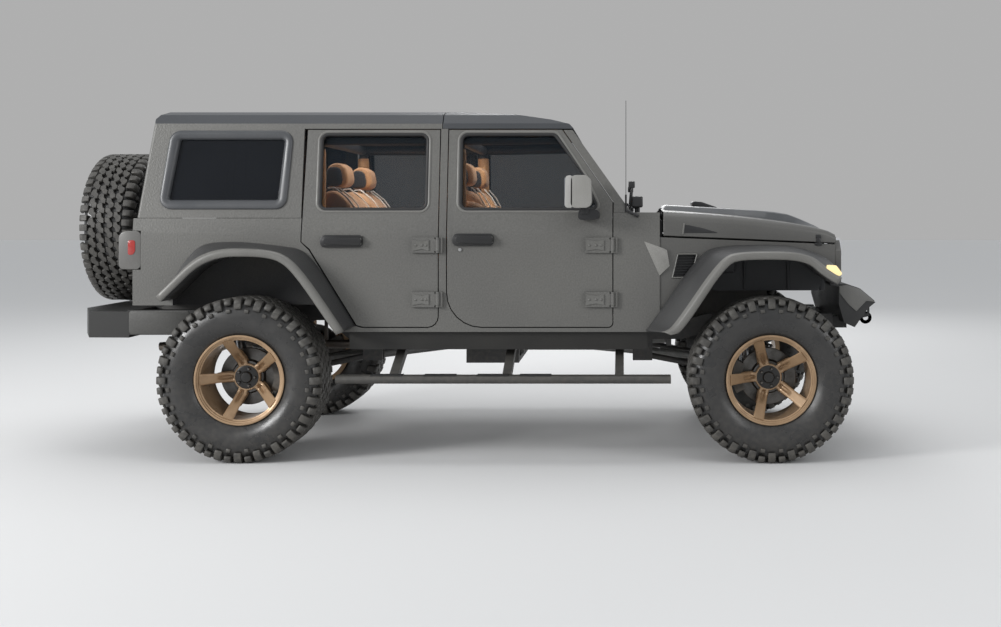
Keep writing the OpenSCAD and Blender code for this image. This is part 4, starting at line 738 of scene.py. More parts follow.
def paced(points, count):
    """The same line with its points spread evenly along it."""
    reach = [0.0]
    for a, b in zip(points, points[1:]):
        reach.append(reach[-1] + (b - a).length)
    even, leg = [], 0
    for k in range(count):
        want = reach[-1] * k / (count - 1)
        while leg < len(points) - 2 and reach[leg + 1] < want:
            leg += 1
        even.append(points[leg].lerp(points[leg + 1], min(1.0, (want - reach[leg]) / (reach[leg + 1] - reach[leg]))))
    return even


front_outer = [(-1.51, 0.565), (-0.82, 1.545), (-0.54, 1.615), (0.13, 1.627), (0.47, 1.58), (0.77, 1.455), (0.9, 1.22)]
front_inner = [(-1.22, 0.555), (-1.09, 0.58), (-0.543, 1.41), (-0.33, 1.464), (0.24, 1.464), (0.47, 1.406),
               (0.586, 1.293), (0.79, 1.165)]
rear_outer = [(-1.03, 0.96), (-0.73, 1.49), (-0.53, 1.65), (-0.13, 1.67), (0.37, 1.62), (0.76, 1.56), (1.33, 0.63)]
rear_inner = [(-0.92, 0.96), (-0.37, 1.5), (0.4, 1.5), (0.65, 1.345), (1.19, 0.555)]


def bay_side(x):
    """Half width of the body behind a flare: straight along the doors, tapering to the nose."""
    return 0.797 if x < 1.121 else 0.795 - (x - 1.121) * 0.1507


bm = bmesh.new()
for wheel_x, outer, inner in ((1.735, front_outer, front_inner), (-1.273, rear_outer, rear_inner)):
    hub = Vector((wheel_x, 0.4675))
    high = paced(eased([arch_point(wheel_x, a, u) for a, u in outer]), 56)
    low = paced(eased([arch_point(wheel_x, a, u) for a, u in inner]), 56)
    lip = [p + (p - hub).normalized() * 0.038 for p in low]
    for side in (1, -1):
        rows = [[(p.x, side * (bay_side(p.x) - 0.01), p.y) for p in high],
                [(p.x, side * (bay_side(p.x) + 0.004), p.y) for p in high]]
        for share, out, in ((0.10, 0.835), (0.45, 0.895), (0.86, 0.962)):
            rows.append([(a.lerp(b, share).x, side * max(out, bay_side(a.x) + 0.01), a.lerp(b, share).y)
                         for a, b in zip(high, lip)])
        rows += [[(p.x, side * 0.979, p.y) for p in lip],
                 [(a.lerp(b, 0.15).x, side * 0.9845, a.lerp(b, 0.15).y) for a, b in zip(lip, low)],
                 [(a.lerp(b, 0.85).x, side * 0.9835, a.lerp(b, 0.85).y) for a, b in zip(lip, low)],
                 [(p.x, side * 0.977, p.y) for p in low],
                 [(p.x, side * 0.90, p.y) for p in low],
                 [(p.x, side * (bay_side(p.x) - 0.04), p.y) for p in low]]
        swept(bm, rows)
# Faces out at the lip take the lighter coat: painted highlight.
for face in bm.faces:
    if abs(face.calc_center_median().y) > 0.966:
        face.material_index = 1
bmesh.ops.recalc_face_normals(bm, faces=bm.faces)
arch_flares = finished(bm, "arch_flares", [flare_shade_plastic, flare_lip_highlight], "root", ("wheel_flares",), smooth=50)
wall_of_flare = arch_flares.modifiers.new("moulded wall", "SOLIDIFY")
wall_of_flare.thickness = 0.004
wall_of_flare.offset = 0

# ---- Tyres ----
# Mud-terrain tyres on 17 inch rims: a moulded rubber casing with ribbed walls, two rows
# of interlocking centre lugs, a row between, and shoulder lugs that wrap down the wall.

tyre_rubber = coated("tyre rubber", (0.022, 0.022, 0.022), (0.030, 0.029, 0.028), rough=0.30, spread=0.2,
                     cloud_scale=9, grain_scale=340, depth=0.25, dust=0.12)
# The lugs are lighter than the casing: partly scuffing and dust, partly a painted highlight on the lugs against painted
# shade on the darker casing in the grooves.
scuffed_highlit_lug_rubber = coated("scuffed lug rubber with painted highlight", (0.062, 0.059, 0.053), (0.040, 0.038, 0.035), rough=0.60, spread=0.2,
                    cloud_scale=26, grain_scale=340, depth=0.3, dust=0.2)
wall = [(0.2362, 0.112), (0.2480, 0.1135), (0.2560, 0.1180), (0.266, 0.1270), (0.280, 0.1380), (0.294, 0.1465),
        (0.306, 0.1520), (0.320, 0.1565), (0.334, 0.1590), (0.350, 0.1600), (0.366, 0.1590), (0.384, 0.1560),
        (0.402, 0.1500), (0.418, 0.1420), (0.432, 0.1310), (0.442, 0.1190), (0.4475, 0.1040), (0.4490, 0.0400)]


def around(points, angle):
    turn = Matrix.Rotation(angle, 3, "Y")
    return [turn @ Vector(p) for p in points]


def lug(bm, outline, angle, bevel=0.0022):
    """Tread lug standing on the casing at the top of the wheel, then carried round by angle."""
    foot = around([(x, y, 0.4440) for x, y in outline], angle)
    plate(bm, foot, Matrix.Rotation(angle, 3, "Y") @ Vector((0, 0, 0.0235)), bevel, 1)


centre_lug = [(-0.034, 0.003), (-0.006, 0.002), (0.004, 0.016), (0.030, 0.020), (0.034, 0.034), (0.022, 0.052),
              (0.002, 0.050), (-0.010, 0.036), (-0.030, 0.030)]
middle_lug = [(-0.032, 0.056), (-0.004, 0.053), (0.006, 0.066), (0.030, 0.070), (0.028, 0.092), (0.004, 0.101),
              (-0.012, 0.096), (-0.018, 0.082), (-0.034, 0.076)]
long_side = [(0.104, 0.444), (0.103, 0.4675), (0.131, 0.4672), (0.150, 0.4600), (0.1600, 0.4460), (0.1640, 0.4280),
             (0.1645, 0.4080), (0.1560, 0.4030), (0.1400, 0.4250)]
short_side = [(0.108, 0.444), (0.107, 0.4675), (0.131, 0.4672), (0.149, 0.4605), (0.1585, 0.4490), (0.1625, 0.4360),
              (0.1560, 0.4270), (0.1350, 0.4290)]
biter = [(0.1500, 0.3830), (0.1635, 0.3850), (0.1645, 0.3960), (0.1620, 0.4060), (0.1480, 0.4060)]
tyre_shape = bmesh.new()
pitch = 2 * pi / 24
for hand in (1, -1):
    for k in (0, 1):
        offset = pitch / 2 * k + (pitch / 4 if hand < 0 else 0)
        lug(tyre_shape, [(hand * x, hand * y) for x, y in centre_lug], offset)
        lug(tyre_shape, [(hand * x, hand * y) for x, y in middle_lug], offset + pitch * 0.27)
        section, half = ((long_side, 0.0200), (short_side, 0.0180))[k]
        if k:
            plate(tyre_shape, around([(-0.012, hand * y, z) for y, z in biter], offset),
                  Matrix.Rotation(offset, 3, "Y") @ Vector((0.024, 0, 0)), 0.002, 1)
        plate(tyre_shape, around([(-half, hand * y, z) for y, z in section], offset),
              Matrix.Rotation(offset, 3, "Y") @ Vector((2 * half, 0, 0)), 0.003, 1)
bmesh.ops.spin(tyre_shape, geom=tyre_shape.verts[:] + tyre_shape.edges[:] + tyre_shape.faces[:], cent=(0, 0, 0),
               axis=(0, 1, 0), dvec=(0, 0, 0), angle=pitch * 23, steps=23, use_merge=False, use_duplicate=True)
for face in tyre_shape.faces:
    face.material_index = 1
turned(tyre_shape, [(r, -y) for r, y in wall] + [(r, y) for r, y in reversed(wall)] + [(0.2362, -0.119)], steps=96)
bmesh.ops.recalc_face_normals(tyre_shape, faces=tyre_shape.faces)

corners = [("front_left", Matrix.Translation((1.735, 0.82, 0.4675)), "front_left_wheel"),
           ("front_right", Matrix.Translation((1.735, -0.82, 0.4675)) @ Matrix.Scale(-1, 4, (0, 1, 0)),
            "front_right_wheel"),
           ("rear_left", Matrix.Translation((-1.273, 0.82, 0.4675)), "rear_left_wheel"),
           ("rear_right", Matrix.Translation((-1.273, -0.82, 0.4675)) @ Matrix.Scale(-1, 4, (0, 1, 0)),
            "rear_right_wheel"),
           ("spare", Matrix.Translation((-2.243, 0, 1.325)) @ Matrix.Rotation(radians(90), 4, "Z"), "tailgate")]


def at_corner(shape, matrix):
    """Copy of a shape carried to a corner of the vehicle, its faces kept outwards when mirrored."""
    copy = shape.copy()
    bmesh.ops.transform(copy, matrix=matrix, verts=copy.verts)
    if matrix.determinant() < 0:
        bmesh.ops.reverse_faces(copy, faces=copy.faces)
    return copy


for place, matrix, body in corners:
    finished(at_corner(tyre_shape, matrix), f"{place}_treaded_tyre", [tyre_rubber, scuffed_highlit_lug_rubber], body,
             (f"{place}_tyre",), smooth=40)
tyre_shape.free()

# ---- Rims ----
# Cast alloy wheels in satin bronze: five spokes swept deep into the hub, each with a
# pocket near its root, a stepped lip, a black centre cap ringed by five nuts.

bronze = coated("satin bronze", (0.37, 0.25, 0.15), (0.29, 0.19, 0.11), rough=0.38, spread=0.25,
                cloud_scale=11, grain_scale=520, depth=0.12, metallic=0.35)
cap_black = coated("cap black", (0.009, 0.0085, 0.008), (0.014, 0.013, 0.012), rough=0.30)
nut_steel = coated("nut steel", (0.10, 0.095, 0.09), (0.14, 0.13, 0.12), rough=0.3, metallic=0.8)
disc_steel = coated("disc steel", (0.12, 0.115, 0.11), (0.07, 0.066, 0.06), rough=0.38, metallic=0.9, cloud_scale=14,
                    grain_scale=200, depth=0.15)
rim_shape = bmesh.new()
bmesh.ops.create_grid(rim_shape, x_segments=12, y_segments=22, size=1)
for v in rim_shape.verts:
    u, t = v.co.x, (v.co.y + 1) / 2
    radius = 0.050 + 0.1785 * t
    rise = max(0.0, radius - 0.095)
    half = 0.0275 + 0.005 * (rise / 0.1325) ** 2
    face = -0.014 + 0.99 * rise
    pocket = max(0.0, 1 - (abs(u) / 0.38) ** 6) * max(0.0, 1 - ((radius - 0.112) / 0.034) ** 6)
    edge = 0.005 * max(0.0, abs(u) - 0.80) / 0.20
    v.co = Vector((u * half, face - 0.020 * pocket - edge, radius))
bmesh.ops.recalc_face_normals(rim_shape, faces=rim_shape.faces)
spoke_faces = rim_shape.faces[:]
if sum((f.normal.y for f in spoke_faces)) < 0:
    bmesh.ops.reverse_faces(rim_shape, faces=spoke_faces)
bmesh.ops.solidify(rim_shape, geom=spoke_faces, thickness=0.028)
bmesh.ops.spin(rim_shape, geom=rim_shape.verts[:] + rim_shape.edges[:] + rim_shape.faces[:], cent=(0, 0, 0),
               axis=(0, 1, 0), dvec=(0, 0, 0), angle=2 * pi * 4 / 5, steps=4, use_merge=False, use_duplicate=True)
bmesh.ops.rotate(rim_shape, verts=rim_shape.verts, cent=(0, 0, 0), matrix=Matrix.Rotation(radians(-18), 3, "Y"))
turned(rim_shape, [(0.2262, -0.1315), (0.2550, -0.1318), (0.2560, -0.1270), (0.2540, -0.1195), (0.2362, -0.1180),
                   (0.2362, 0.1180), (0.2540, 0.1195), (0.2560, 0.1250), (0.2550, 0.1305), (0.2490, 0.1320),
                   (0.2440, 0.1300), (0.2420, 0.1240), (0.2360, 0.1215), (0.2330, 0.1150), (0.2262, 0.1120),
                   (0.2262, -0.1315)], steps=96)
turned(rim_shape, [(0, -0.040), (0.072, -0.040), (0.078, -0.034), (0.078, -0.018), (0.074, -0.013), (0, -0.012)],
       steps=48)
bmesh.ops.recalc_face_normals(rim_shape, faces=rim_shape.faces)

cap_shape = bmesh.new()
turned(cap_shape, [(0, 0.012), (0.018, 0.0115), (0.028, 0.009), (0.033, 0.003), (0.035, -0.005), (0.060, -0.0065),
                   (0.067, -0.009), (0.068, -0.013), (0, -0.0135)], steps=40)
bmesh.ops.recalc_face_normals(cap_shape, faces=cap_shape.faces)
nut_shape = bmesh.new()
for k in range(5):
    spot = around([(0, 0, 0.0505)], 2 * pi * k / 5 + radians(18))[0]
    turned(nut_shape, [(0, 0.010), (0.006, 0.009), (0.0085, 0.005), (0.0105, -0.004), (0.0105, -0.008)],
           centre=(spot.x, 0, spot.z), steps=6)
bmesh.ops.recalc_face_normals(nut_shape, faces=nut_shape.faces)
disc_shape = bmesh.new()
turned(disc_shape, [(0.066, -0.078), (0.162, -0.080), (0.165, -0.077), (0.165, -0.072), (0.158, -0.070),
                    (0.158, -0.067), (0.165, -0.065), (0.165, -0.060), (0.162, -0.058), (0.100, -0.058),
                    (0.094, -0.050), (0.090, -0.036), (0.066, -0.035), (0.066, -0.078)], steps=72)
for k in range(36):
    hole = around([(0, 0, 0.115 + 0.017 * (k % 3))], 2 * pi * k / 36)[0]
    turned(disc_shape, [(0, -0.0576), (0.0042, -0.0576), (0.0046, -0.0585)], centre=(hole.x, 0, hole.z), steps=8)
bmesh.ops.recalc_face_normals(disc_shape, faces=disc_shape.faces)

for place, matrix, body in corners:
    finished(at_corner(rim_shape, matrix), f"{place}_spoked_rim", bronze, body, (f"{place}_rim",),
             smooth=38)
    finished(at_corner(cap_shape, matrix), f"{place}_centre_cap", cap_black, body)
    finished(at_corner(nut_shape, matrix), f"{place}_wheel_nuts", nut_steel, body, smooth=20)
    if place != "spare":
        finished(at_corner(disc_shape, matrix), f"{place}_brake_disc", disc_steel, body)
for shape in (rim_shape, cap_shape, nut_shape, disc_shape):
    shape.free()

# ---- Bumpers and steps ----
# Folded and welded steel plate in textured black; a forged tow ring and bolts on the
# front one, body-coloured wings on the rear one, rubber treads on the side bars.

bumper_coat = coated("textured bumper coat", (0.017, 0.0175, 0.018), (0.025, 0.025, 0.025), rough=0.52,
                     grain_scale=330, depth=0.4, dust=0.15)
rear_bumper_coat = coated("rear bumper coat", (0.0085, 0.0085, 0.008), (0.014, 0.014, 0.013), rough=0.55,
                          grain_scale=330, depth=0.4)
step_coat = coated("step bar coat", (0.040, 0.039, 0.037), (0.055, 0.053, 0.048), rough=0.5, grain_scale=300,
                   depth=0.3, dust=0.3)
sill_coat = coated("sill coat", (0.0075, 0.0068, 0.0055), (0.012, 0.011, 0.009), rough=0.5, grain_scale=260, depth=0.3)
softened("front_bumper", "folded_front_bumper", bumper_coat, "root", 0.006)
wing_steel = coated("bumper wing coat", (0.060, 0.059, 0.055), (0.045, 0.044, 0.041), rough=0.5, grain_scale=130, depth=0.8)
# Pale plates laid on the black front bumper's lit faces: painted highlight.
bumper_highlight_plates = coated("bumper facets with painted highlight", (0.150, 0.148, 0.140), (0.120, 0.118, 0.112), rough=0.42, grain_scale=220, depth=0.4)
bm = bmesh.new()
for side in (1, -1):
    lit = [(2.190, 0.977), (2.236, 0.984), (2.312, 0.958), (2.404, 0.882), (2.352, 0.888), (2.293, 0.826),
           (2.244, 0.868), (2.190, 0.936)]
    plate(bm, [(x, side * 0.5385, z) for x, z in lit], (0, side * 0.0075, 0), 0.003)
plate(bm, [(2.236, -0.520, 0.9855), (2.236, 0.520, 0.9855), (2.311, 0.520, 0.9605), (2.311, -0.520, 0.9605)],
      (0.001, 0, 0.004), 0.001)
plate(bm, [(2.315, -0.520, 0.9585), (2.315, 0.520, 0.9585), (2.403, 0.520, 0.8850), (2.403, -0.520, 0.8850)],
      (0.003, 0, 0.004), 0.001)
finished(bm, "front_bumper_highlight_facets", bumper_highlight_plates, "root")
softened("rear_bumper", "boxed_rear_bumper", rear_bumper_coat, "root", 0.007)
steps = softened("side_steps", "bracketed_side_steps", step_coat, "root", 0.004)
steps.data.materials.append(sill_coat)
for face in steps.data.polygons:
    face.material_index = int(face.center.z > 0.6 and abs(face.center.y) > 0.73)
bm = bmesh.new()
for side in (1, -1):
    wing = rounded([(-1.955, 0.713, 0.02), (-1.705, 0.713, 0.02), (-1.590, 0.850, 0.015), (-1.955, 0.850, 0.02)])
    plate(bm, [(x, side * 0.798, z) for x, z in wing], (0, side * 0.005, 0), 0.002)
finished(bm, "rear_bumper_wings", wing_steel, "root")
# The blank number plate sits in a dished holder on the bumper's face, beside the hitch.
plate_tin = coated("bare plate tin", (0.55, 0.55, 0.53), (0.48, 0.48, 0.46), rough=0.42, grain_scale=200, depth=0.2)
bm = bmesh.new()
for reach, low_z, high_z, depth in ((0.155, 0.698, 0.848, 0.004), (0.148, 0.705, 0.841, 0.006)):
    holder = rounded([(0.255 - reach, low_z, 0.012), (0.255 + reach, low_z, 0.012), (0.255 + reach, high_z, 0.012),
                      (0.255 - reach, high_z, 0.012)])
    plate(bm, [(-2.3205, y, z) for y, z in holder], (-depth, 0, 0), 0.0012)
for y in (0.150, 0.360):
    turned(bm, [(0.0, 0.0085), (0.006, 0.0075), (0.007, 0.004)], axis=(-1, 0, 0), centre=(-2.3205, y, 0.828), steps=16)
bmesh.ops.recalc_face_normals(bm, faces=bm.faces)
finished(bm, "blank_number_plate", plate_tin, "root")
bm = bmesh.new()
for side in (1, -1):
    hook = bmesh.ops.create_circle(bm, cap_ends=False, segments=12, radius=0.011)["verts"]
    hook_edges = list({e for v in hook for e in v.link_edges})
    bmesh.ops.rotate(bm, verts=hook, matrix=Matrix.Rotation(radians(90), 3, "X"))
    bmesh.ops.translate(bm, verts=hook, vec=(2.386 - 0.027, side * 0.3475, 0.772))
    bmesh.ops.spin(bm, geom=hook + hook_edges, cent=(2.386, side * 0.3475, 0.772), axis=(0, 1, 0), dvec=(0, 0, 0),
                   angle=2 * pi, steps=32, use_merge=True, use_duplicate=False)
bmesh.ops.remove_doubles(bm, verts=bm.verts, dist=1e-5)
bmesh.ops.recalc_face_normals(bm, faces=bm.faces)
finished(bm, "tow_rings", cap_black, "root")
bm = bmesh.new()
for side in (1, -1):
    for x in (0.40, 0.16, -0.14, -0.44):
        y0, y1 = sorted((side * 0.895, side * 0.965))
        box_block(bm, (x - 0.09, y0, 0.4945), (x + 0.09, y1, 0.4985), 0.0015, 1)
finished(bm, "step_treads", seal_rubber, "root")

# ---- Lamps ----
# Round headlamps with a stepped reflector behind a clear domed lens, amber and pale
# strips let into the front flares, and proud tail lamps with a light housing.

lens_red, red_tree = blank_material("red lens")
red_place = add(red_tree, "TexCoord", {}).outputs["Object"]
red_flutes = add(red_tree, "TexWave", {"Vector": red_place, "Scale": 45.0, "Distortion": 0.0}, bands_direction="Z")
red_tone = add(red_tree, "Mix", {0: red_flutes.outputs[1], 6: (0.24, 0.010, 0.008, 1), 7: (0.36, 0.025, 0.018, 1)},
               data_type="RGBA").outputs[2]
red_bump = add(red_tree, "Bump", {"Strength": 0.25, "Distance": 0.001, "Height": red_flutes.outputs[1]})
red_skin = add(red_tree, "BsdfPrincipled", {"Base Color": red_tone, "Roughness": 0.18, "Normal": red_bump.outputs[0],
                                            "Coat Weight": 0.6, "Coat Roughness": 0.05})
add(red_tree, "OutputMaterial", {"Surface": red_skin.outputs[0]})
lens_amber, amber_tree = blank_material("amber lens")
amber_place = add(amber_tree, "TexCoord", {}).outputs["Object"]
amber_flutes = add(amber_tree, "TexWave", {"Vector": amber_place, "Scale": 60.0}, bands_direction="X")
amber_tone = add(amber_tree, "Mix", {0: amber_flutes.outputs[1], 6: (0.85, 0.62, 0.22, 1), 7: (1, 0.86, 0.52, 1)},
                 data_type="RGBA").outputs[2]
amber_skin = add(amber_tree, "BsdfPrincipled", {"Base Color": amber_tone, "Roughness": 0.2, "Coat Weight": 0.5,
                                                "Emission Color": amber_tone, "Emission Strength": 0.35})
add(amber_tree, "OutputMaterial", {"Surface": amber_skin.outputs[0]})
lamp_grey = coated("lamp housing grey", (0.135, 0.132, 0.125), (0.105, 0.102, 0.097), rough=0.35, depth=0.1)
lamp_chrome = coated("reflector", (0.75, 0.75, 0.76), (0.6, 0.6, 0.62), rough=0.12, metallic=1.0, spread=0.05,
                     depth=0.05)
lamp_clear, clear_tree = blank_material("clear lamp lens")
clear_place = add(clear_tree, "TexCoord", {}).outputs["Object"]
clear_haze = add(clear_tree, "TexNoise", {"Vector": clear_place, "Scale": 20.0}).outputs[0]
clear_rough = add(clear_tree, "MapRange", {"Value": clear_haze, 3: 0.02, 4: 0.08}).outputs[0]
clear_skin = add(clear_tree, "BsdfPrincipled", {"Base Color": (0.85, 0.88, 0.9, 1), "Roughness": clear_rough,
                                                "Alpha": 0.28, "Coat Weight": 1.0})
add(clear_tree, "OutputMaterial", {"Surface": clear_skin.outputs[0]})

bm = bmesh.new()
for side in (1, -1):
    turned(bm, [(0.0, -0.040), (0.020, -0.040), (0.024, -0.028), (0.030, -0.028), (0.070, -0.006), (0.084, 0.002),
                (0.0945, 0.004), (0.0945, -0.044), (0.0, -0.044)], axis=(1, 0, 0), centre=(2.192, side * 0.5, 1.17),
           steps=48)
bmesh.ops.recalc_face_normals(bm, faces=bm.faces)
finished(bm, "headlamp_reflectors", lamp_chrome, "root", ("headlamps",))
bm = bmesh.new()
for side in (1, -1):
    turned(bm, [(0.0, 0.014), (0.030, 0.0125), (0.060, 0.0085), (0.080, 0.003), (0.088, -0.001), (0.090, -0.004)],
           axis=(1, 0, 0), centre=(2.190, side * 0.5, 1.17), steps=48)
bmesh.ops.recalc_face_normals(bm, faces=bm.faces)
finished(bm, "headlamp_lenses", lamp_clear, "root")
for side, hand in ((1, "left"), (-1, "right")):
    bm = bmesh.new()
    housing = rounded([(-2.016, 1.088, 0.028), (-1.888, 1.088, 0.028), (-1.888, 1.310, 0.028), (-2.016, 1.310, 0.045)])
    plate(bm, [(x, 0.671, z) for x, z in housing], (0, 0.128, 0), 0.010, 3)
    bmesh.ops.scale(bm, verts=bm.verts, vec=(1, side, 1))
    bmesh.ops.recalc_face_normals(bm, faces=bm.faces)
    finished(bm, f"{hand}_tail_lamp_housing", lamp_grey, "root", ("tail_lamps",))
    bm = bmesh.new()
    side_lens = rounded([(-1.962, 1.172, 0.010), (-1.932, 1.172, 0.018), (-1.920, 1.194, 0.018),
                         (-1.920, 1.256, 0.012), (-1.962, 1.256, 0.012)])
    plate(bm, [(x, 0.797, z) for x, z in side_lens], (0, 0.0045, 0), 0.002)
    rear_lens = rounded([(0.688, 1.108, 0.02), (0.782, 1.108, 0.02), (0.782, 1.290, 0.02), (0.688, 1.290, 0.02)])
    plate(bm, [(-2.014, y, z) for y, z in rear_lens], (-0.0045, 0, 0), 0.002)
    bmesh.ops.scale(bm, verts=bm.verts, vec=(1, side, 1))
    bmesh.ops.recalc_face_normals(bm, faces=bm.faces)
    finished(bm, f"{hand}_tail_lamp_lens", lens_red, "root")
    bm = bmesh.new()
    strip = rounded([(2.040, 1.103, 0.008), (2.072, 1.074, 0.010), (2.118, 1.058, 0.010), (2.132, 1.072, 0.008),
                     (2.098, 1.118, 0.010), (2.050, 1.120, 0.008)], 3)
    plate(bm, [(x, 0.895, z) for x, z in strip], (0, 0.080, 0), 0.012, 3)
    bmesh.ops.scale(bm, verts=bm.verts, vec=(1, side, 1))
    bmesh.ops.recalc_face_normals(bm, faces=bm.faces)
    finished(bm, f"{hand}_flare_lamp", lens_amber, "root")
# ---- Front seats ----
# Two bucket seats in tan leather over shaped foam: a cushion with a raised bolster each side, a back
# with shoulder wings, and a head restraint whose tan rim goes round a charcoal insert.
# Every panel is a stuffed cover with rolled edges, piped in pale grey where the panels meet.


def hide_group():
    """Pebbled hide: cell grain, finer wrinkles, and a slow drift of tone that also changes the shine."""
    tree = bpy.data.node_groups.new("hide grain", "ShaderNodeTree")
    for label, kind in (("Colour", "NodeSocketColor"), ("Rubbed colour", "NodeSocketColor")):
        tree.interface.new_socket(label, in_out="INPUT", socket_type=kind)
    tree.interface.new_socket("Colour", in_out="OUTPUT", socket_type="NodeSocketColor")
    tree.interface.new_socket("Roughness", in_out="OUTPUT", socket_type="NodeSocketFloat")
    tree.interface.new_socket("Height", in_out="OUTPUT", socket_type="NodeSocketFloat")
    given = tree.nodes.new("NodeGroupInput")
    result = tree.nodes.new("NodeGroupOutput")
    place = add(tree, "TexCoord", {})
    pebble = add(tree, "TexVoronoi", {"Vector": place.outputs["Object"], "Scale": 380.0})
    wrinkle = add(tree, "TexNoise", {"Vector": place.outputs["Object"], "Scale": 90.0, "Detail": 3.0})
    drift = add(tree, "TexNoise", {"Vector": place.outputs["Object"], "Scale": 8.0, "Detail": 4.0})
    steep = add(tree, "MapRange", {"Value": drift.outputs["Fac"], "From Min": 0.35, "From Max": 0.65})
    tone = add(tree, "MixRGB", {"Fac": steep.outputs[0], "Color1": given.outputs["Colour"],
                                "Color2": given.outputs["Rubbed colour"]})
    shine = add(tree, "MapRange", {"Value": drift.outputs["Fac"], "From Min": 0.3, "From Max": 0.7, "To Min": 0.40,
                                   "To Max": 0.55})
    relief = add(tree, "Math", {0: pebble.outputs["Distance"], 1: wrinkle.outputs["Fac"]}, operation="ADD")
    tree.links.new(tone.outputs[0], result.inputs["Colour"])
    tree.links.new(shine.outputs[0], result.inputs["Roughness"])
    tree.links.new(relief.outputs[0], result.inputs["Height"])
    return tree


hide_grain = hide_group()


def leather(name, colour, rubbed):
    material, tree = blank_material(name)
    hide = add(tree, "Group", {}, node_tree=hide_grain)
    hide.inputs["Colour"].default_value = (*colour, 1)
    hide.inputs["Rubbed colour"].default_value = (*rubbed, 1)
    relief = add(tree, "Bump", {"Strength": 0.25, "Distance": 0.0015, "Height": hide.outputs["Height"]})
    surface = add(tree, "BsdfPrincipled", {
        "Base Color": hide.outputs["Colour"], "Roughness": hide.outputs["Roughness"], "Normal": relief.outputs[0],
        "Sheen Weight": 0.12})
    add(tree, "OutputMaterial", {"Surface": surface.outputs[0]})
    return material


tan_leather = leather("tan leather", (0.52, 0.27, 0.115), (0.40, 0.195, 0.080))
charcoal_leather = leather("charcoal leather", (0.030, 0.029, 0.030), (0.045, 0.043, 0.042))
piping_coat = coated("pale piping", (0.66, 0.62, 0.56), (0.52, 0.48, 0.43), rough=0.5, grain_scale=600, depth=0.2)


def plumped(bm, name, fill_cap):
    """Stuffs a cover: its outline swells as foam pushes the leather out, capped by the stitching."""
    shell = bpy.data.meshes.new(name)
    bm.to_mesh(shell)
    bm.free()
    pad = bpy.data.objects.new(name, shell)
    bpy.context.collection.objects.link(pad)
    weave = pad.modifiers.new("even cover", "REMESH")
    weave.mode = "VOXEL"
    weave.voxel_size = 0.013
    bpy.context.view_layer.update()
    baked = bpy.data.meshes.new_from_object(pad.evaluated_get(bpy.context.evaluated_depsgraph_get()))
    pad.modifiers.clear()
    pad.data = baked
    rest = [v.co.copy() for v in baked.vertices]
    cloth = pad.modifiers.new("stuffing", "CLOTH")
    cloth.settings.quality = 4
    cloth.settings.mass = 0.4
    cloth.settings.use_pressure = True
    cloth.settings.uniform_pressure_force = 4.0
    cloth.settings.tension_stiffness = 30
    cloth.settings.compression_stiffness = 30
    cloth.settings.bending_stiffness = 2
    cloth.settings.effector_weights.gravity = 0
    cloth.point_cache.frame_start = 1
    cloth.point_cache.frame_end = 20
    for frame_number in range(1, 21):
        bpy.context.scene.frame_set(frame_number)
    swollen = bpy.data.meshes.new_from_object(pad.evaluated_get(bpy.context.evaluated_depsgraph_get()))
    pad.modifiers.clear()
    for v, start, end in zip(baked.vertices, rest, swollen.vertices):
        shift = end.co - start
        v.co = start + shift * min(1.0, fill_cap / max(shift.length, 1e-6))
    bpy.context.scene.frame_set(1)
    bpy.data.objects.remove(pad)
    full = bmesh.new()
    full.from_mesh(baked)
    bmesh.ops.smooth_vert(full, verts=full.verts, factor=0.5, use_axis_x=True, use_axis_y=True, use_axis_z=True)
    bmesh.ops.smooth_vert(full, verts=full.verts, factor=0.5, use_axis_x=True, use_axis_y=True, use_axis_z=True)
    return full


def cushioned(bm, name, material, cap, replaced=(), both=True):
    """A stuffed piece on the left and, where there are two, the same one mirrored on the right."""
    full = plumped(bm, name, cap)
    twin = full.copy()
    made = [finished(full, ("left_" if both else "") + name, material, "root", replaced, smooth=180)]
    if both:
        bmesh.ops.transform(twin, matrix=Matrix.Diagonal((1, -1, 1, 1)), verts=twin.verts)
        bmesh.ops.reverse_faces(twin, faces=twin.faces)
        made.append(finished(twin, "right_" + name, material, "root", smooth=180))
    else:
        twin.free()
    for each in made:
        round_cover = each.modifiers.new("round cover", "SUBSURF")
        round_cover.levels = 1
        round_cover.render_levels = 1
    return made


def tube_line(bm, points, radius, steps=8):
    """Round cord through a line of points."""
    spots = [Vector(p) for p in points]
    rings = []
    for k, spot in enumerate(spots):
        ahead = (spots[min(k + 1, len(spots) - 1)] - spots[max(k - 1, 0)]).normalized()
        turn = ahead.to_track_quat("Z", "Y").to_matrix()
        rings.append([bm.verts.new(spot + turn @ Vector((cos(2 * pi * s / steps), sin(2 * pi * s / steps), 0)) * radius)
                      for s in range(steps)])
    for near, far in zip(rings, rings[1:]):
        for s in range(steps):
            bm.faces.new((near[s - 1], near[s], far[s], far[s - 1]))
    bm.faces.new(rings[0][::-1])
    bm.faces.new(rings[-1])


